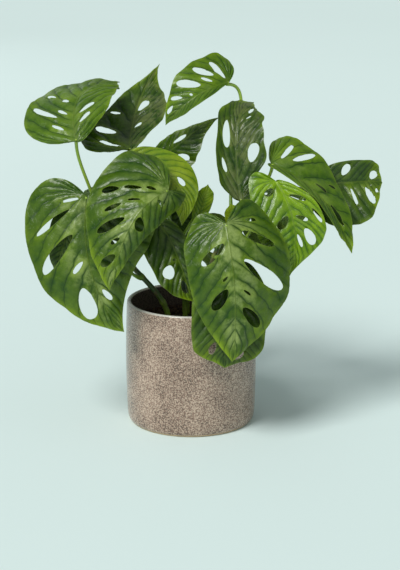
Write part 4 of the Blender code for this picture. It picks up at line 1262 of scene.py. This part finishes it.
def add_soil(sizes):
    """The potting mix: a lumpy disc closed underneath, (r cos a, r sin a, height), with crumbs on top."""
    angle = np.linspace(0, 2 * math.pi, SOIL_SIDES, endpoint=False)
    radius = np.linspace(SOIL_MIDDLE, 1, SOIL_RINGS)[:, None] * SOIL_RADIUS
    x, y = radius * np.cos(angle), radius * np.sin(angle)
    rings = np.stack([x, y, soil_height(x, y, sizes.rough)], -1)
    side, foot = (
        np.stack([x[-1] * part, y[-1] * part, np.full(SOIL_SIDES, SOIL_LOW.z / MM)], -1)
        for part in (1, SOIL_MIDDLE))
    points, faces = skin_rings(np.concatenate([rings, side[None], foot[None]]))
    crumbs, loose, shade = soil_crumbs(sizes)
    shade = np.append(np.full(len(points), SOIL_SHADE), shade)
    points, faces = np.vstack([points, crumbs]), np.vstack([faces, loose + len(points)])
    piece = make_mesh("potting_mix", points, faces, {"crumb": shade})
    piece.data.materials.append(soil_finish(sizes))
    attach(piece, "root")
    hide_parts("soil")


class VINE_OT_pot(bpy.types.Operator):
    """Turns the glazed pot"""

    bl_idname = "vine.pot"
    bl_label = "Pot"

    def execute(self, context):
        add_pot(context.scene.vine_pot)
        return {"FINISHED"}


class VINE_OT_soil(bpy.types.Operator):
    """Fills the pot with potting mix"""

    bl_idname = "vine.soil"
    bl_label = "Soil"

    def execute(self, context):
        add_soil(context.scene.vine_soil)
        return {"FINISHED"}


class VINE_OT_stems(bpy.types.Operator):
    """Grows the stems"""

    bl_idname = "vine.stems"
    bl_label = "Stems"

    def execute(self, context):
        sizes = context.scene.vine_stalk
        material = bark_finish(sizes)
        for name, stem in STEMS.items():
            add_stem(name, stem, sizes, material)
        return {"FINISHED"}


class VINE_OT_petioles(bpy.types.Operator):
    """Grows a petiole for each leaf"""

    bl_idname = "vine.petioles"
    bl_label = "Petioles"

    def execute(self, context):
        sizes = context.scene.vine_stalk
        material = stalk_finish("petiole_skin", sizes.petiole_low, sizes.petiole, sizes.sheath)
        for name, leaf in LEAVES.items():
            add_petiole(name, leaf, sizes, material)
        return {"FINISHED"}


class VINE_OT_leaves(bpy.types.Operator):
    """Grows the leaf blades"""

    bl_idname = "vine.leaves"
    bl_label = "Leaves"

    def execute(self, context):
        sizes = context.scene.vine_blade
        # Silver leaves get the full painted sheen near the midrib, the others a share of it.
        finishes = {
            tone: leaf_finish(
                tone, getattr(sizes, tone + "_light"), getattr(sizes, tone + "_dark"),
                sizes.sheen_painted * (1 if tone == "silver" else OTHER_SHEEN_SHARE), sizes)
            for tone in sorted({leaf.tone for leaf in LEAVES.values()})
        }
        for name, leaf in LEAVES.items():
            piece = blade_mesh(name + "_blade", leaf, sizes)
            piece.data.materials.append(finishes[leaf.tone])
            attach(piece, "root")
            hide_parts("leaf_" + name)
        return {"FINISHED"}


def add_light(name, kind, place, power, colour):
    """A light at a place, aimed at the plant's middle."""
    light = bpy.data.lights.new(name, kind)
    light.energy = power
    light.color = colour
    lamp = bpy.data.objects.new(name, light)
    lamp.location = place
    lamp.rotation_euler = (Vector(PLANT_MIDDLE) - Vector(place)).to_track_quat("-Z", "Y").to_euler()
    bpy.context.scene.collection.objects.link(lamp)
    return light


class VINE_OT_stage(bpy.types.Operator):
    """Lays the floor and sets the lights and the camera"""

    bl_idname = "vine.stage"
    bl_label = "Stage"

    def execute(self, context):
        look = context.scene.vine_stage
        corners = np.array([(-1, -1, 0), (1, -1, 0), (1, 1, 0), (-1, 1, 0)]) * FLOOR_HALF
        floor = make_mesh("floor", corners, np.array([(0, 1, 2), (0, 2, 3)]))
        floor.data.materials.append(floor_finish(look.floor))
        world = bpy.data.worlds.new("sky")
        world.use_nodes = True
        sky = world.node_tree.nodes["Background"]
        sky.inputs["Color"].default_value = (*look.sky, 1)
        sky.inputs["Strength"].default_value = look.sky_power
        context.scene.world = world
        sun = add_light("sun", "SUN", SUN_PLACE, look.sun_power, SUN_COLOUR)
        sun.angle = look.sun_spread
        window = add_light("window", "AREA", WINDOW_PLACE, look.window_power, DAYLIGHT)
        window.size = WINDOW_SIDE
        fill = add_light("fill", "AREA", FILL_PLACE, look.fill_power, DAYLIGHT)
        fill.size = FILL_SIDE
        lens = bpy.data.cameras.new("camera")
        lens.lens = look.lens
        lens.sensor_width = SENSOR_WIDTH
        camera = bpy.data.objects.new("camera", lens)
        camera.location = CAMERA_PLACE
        camera.rotation_euler = (math.radians(CAMERA_PITCH), 0, 0)
        context.scene.collection.objects.link(camera)
        context.scene.camera = camera
        context.scene.view_settings.view_transform = "Standard"
        return {"FINISHED"}


OPERATORS = (VINE_OT_pot, VINE_OT_soil, VINE_OT_stems, VINE_OT_petioles, VINE_OT_leaves, VINE_OT_stage)
GROUPS = {
    "vine_blade": VINE_PG_blade, "vine_stalk": VINE_PG_stalk, "vine_pot": VINE_PG_pot,
    "vine_soil": VINE_PG_soil, "vine_stage": VINE_PG_stage,
}


class VINE_PT_panel(bpy.types.Panel):
    """Lists the plant's pieces and the stage"""

    bl_idname = "VINE_PT_panel"
    bl_label = "Potted vine"
    bl_space_type = "VIEW_3D"
    bl_region_type = "UI"
    bl_category = "Vine"

    def draw(self, context):
        for operator in OPERATORS:
            self.layout.operator(operator.bl_idname)


def register():
    """Registers the settings, the operators and the panel."""
    for name, group in GROUPS.items():
        bpy.utils.register_class(group)
        setattr(bpy.types.Scene, name, bpy.props.PointerProperty(type=group))
    for item in (*OPERATORS, VINE_PT_panel):
        bpy.utils.register_class(item)


def unregister():
    """Takes them away again."""
    for item in reversed((*OPERATORS, VINE_PT_panel)):
        bpy.utils.unregister_class(item)
    for name, group in GROUPS.items():
        delattr(bpy.types.Scene, name)
        bpy.utils.unregister_class(group)


def main():
    """Builds every piece and the stage."""
    register()
    bpy.ops.vine.pot()
    bpy.ops.vine.soil()
    bpy.ops.vine.stems()
    bpy.ops.vine.petioles()
    bpy.ops.vine.leaves()
    bpy.ops.vine.stage()


if __name__ == "__main__":
    main()
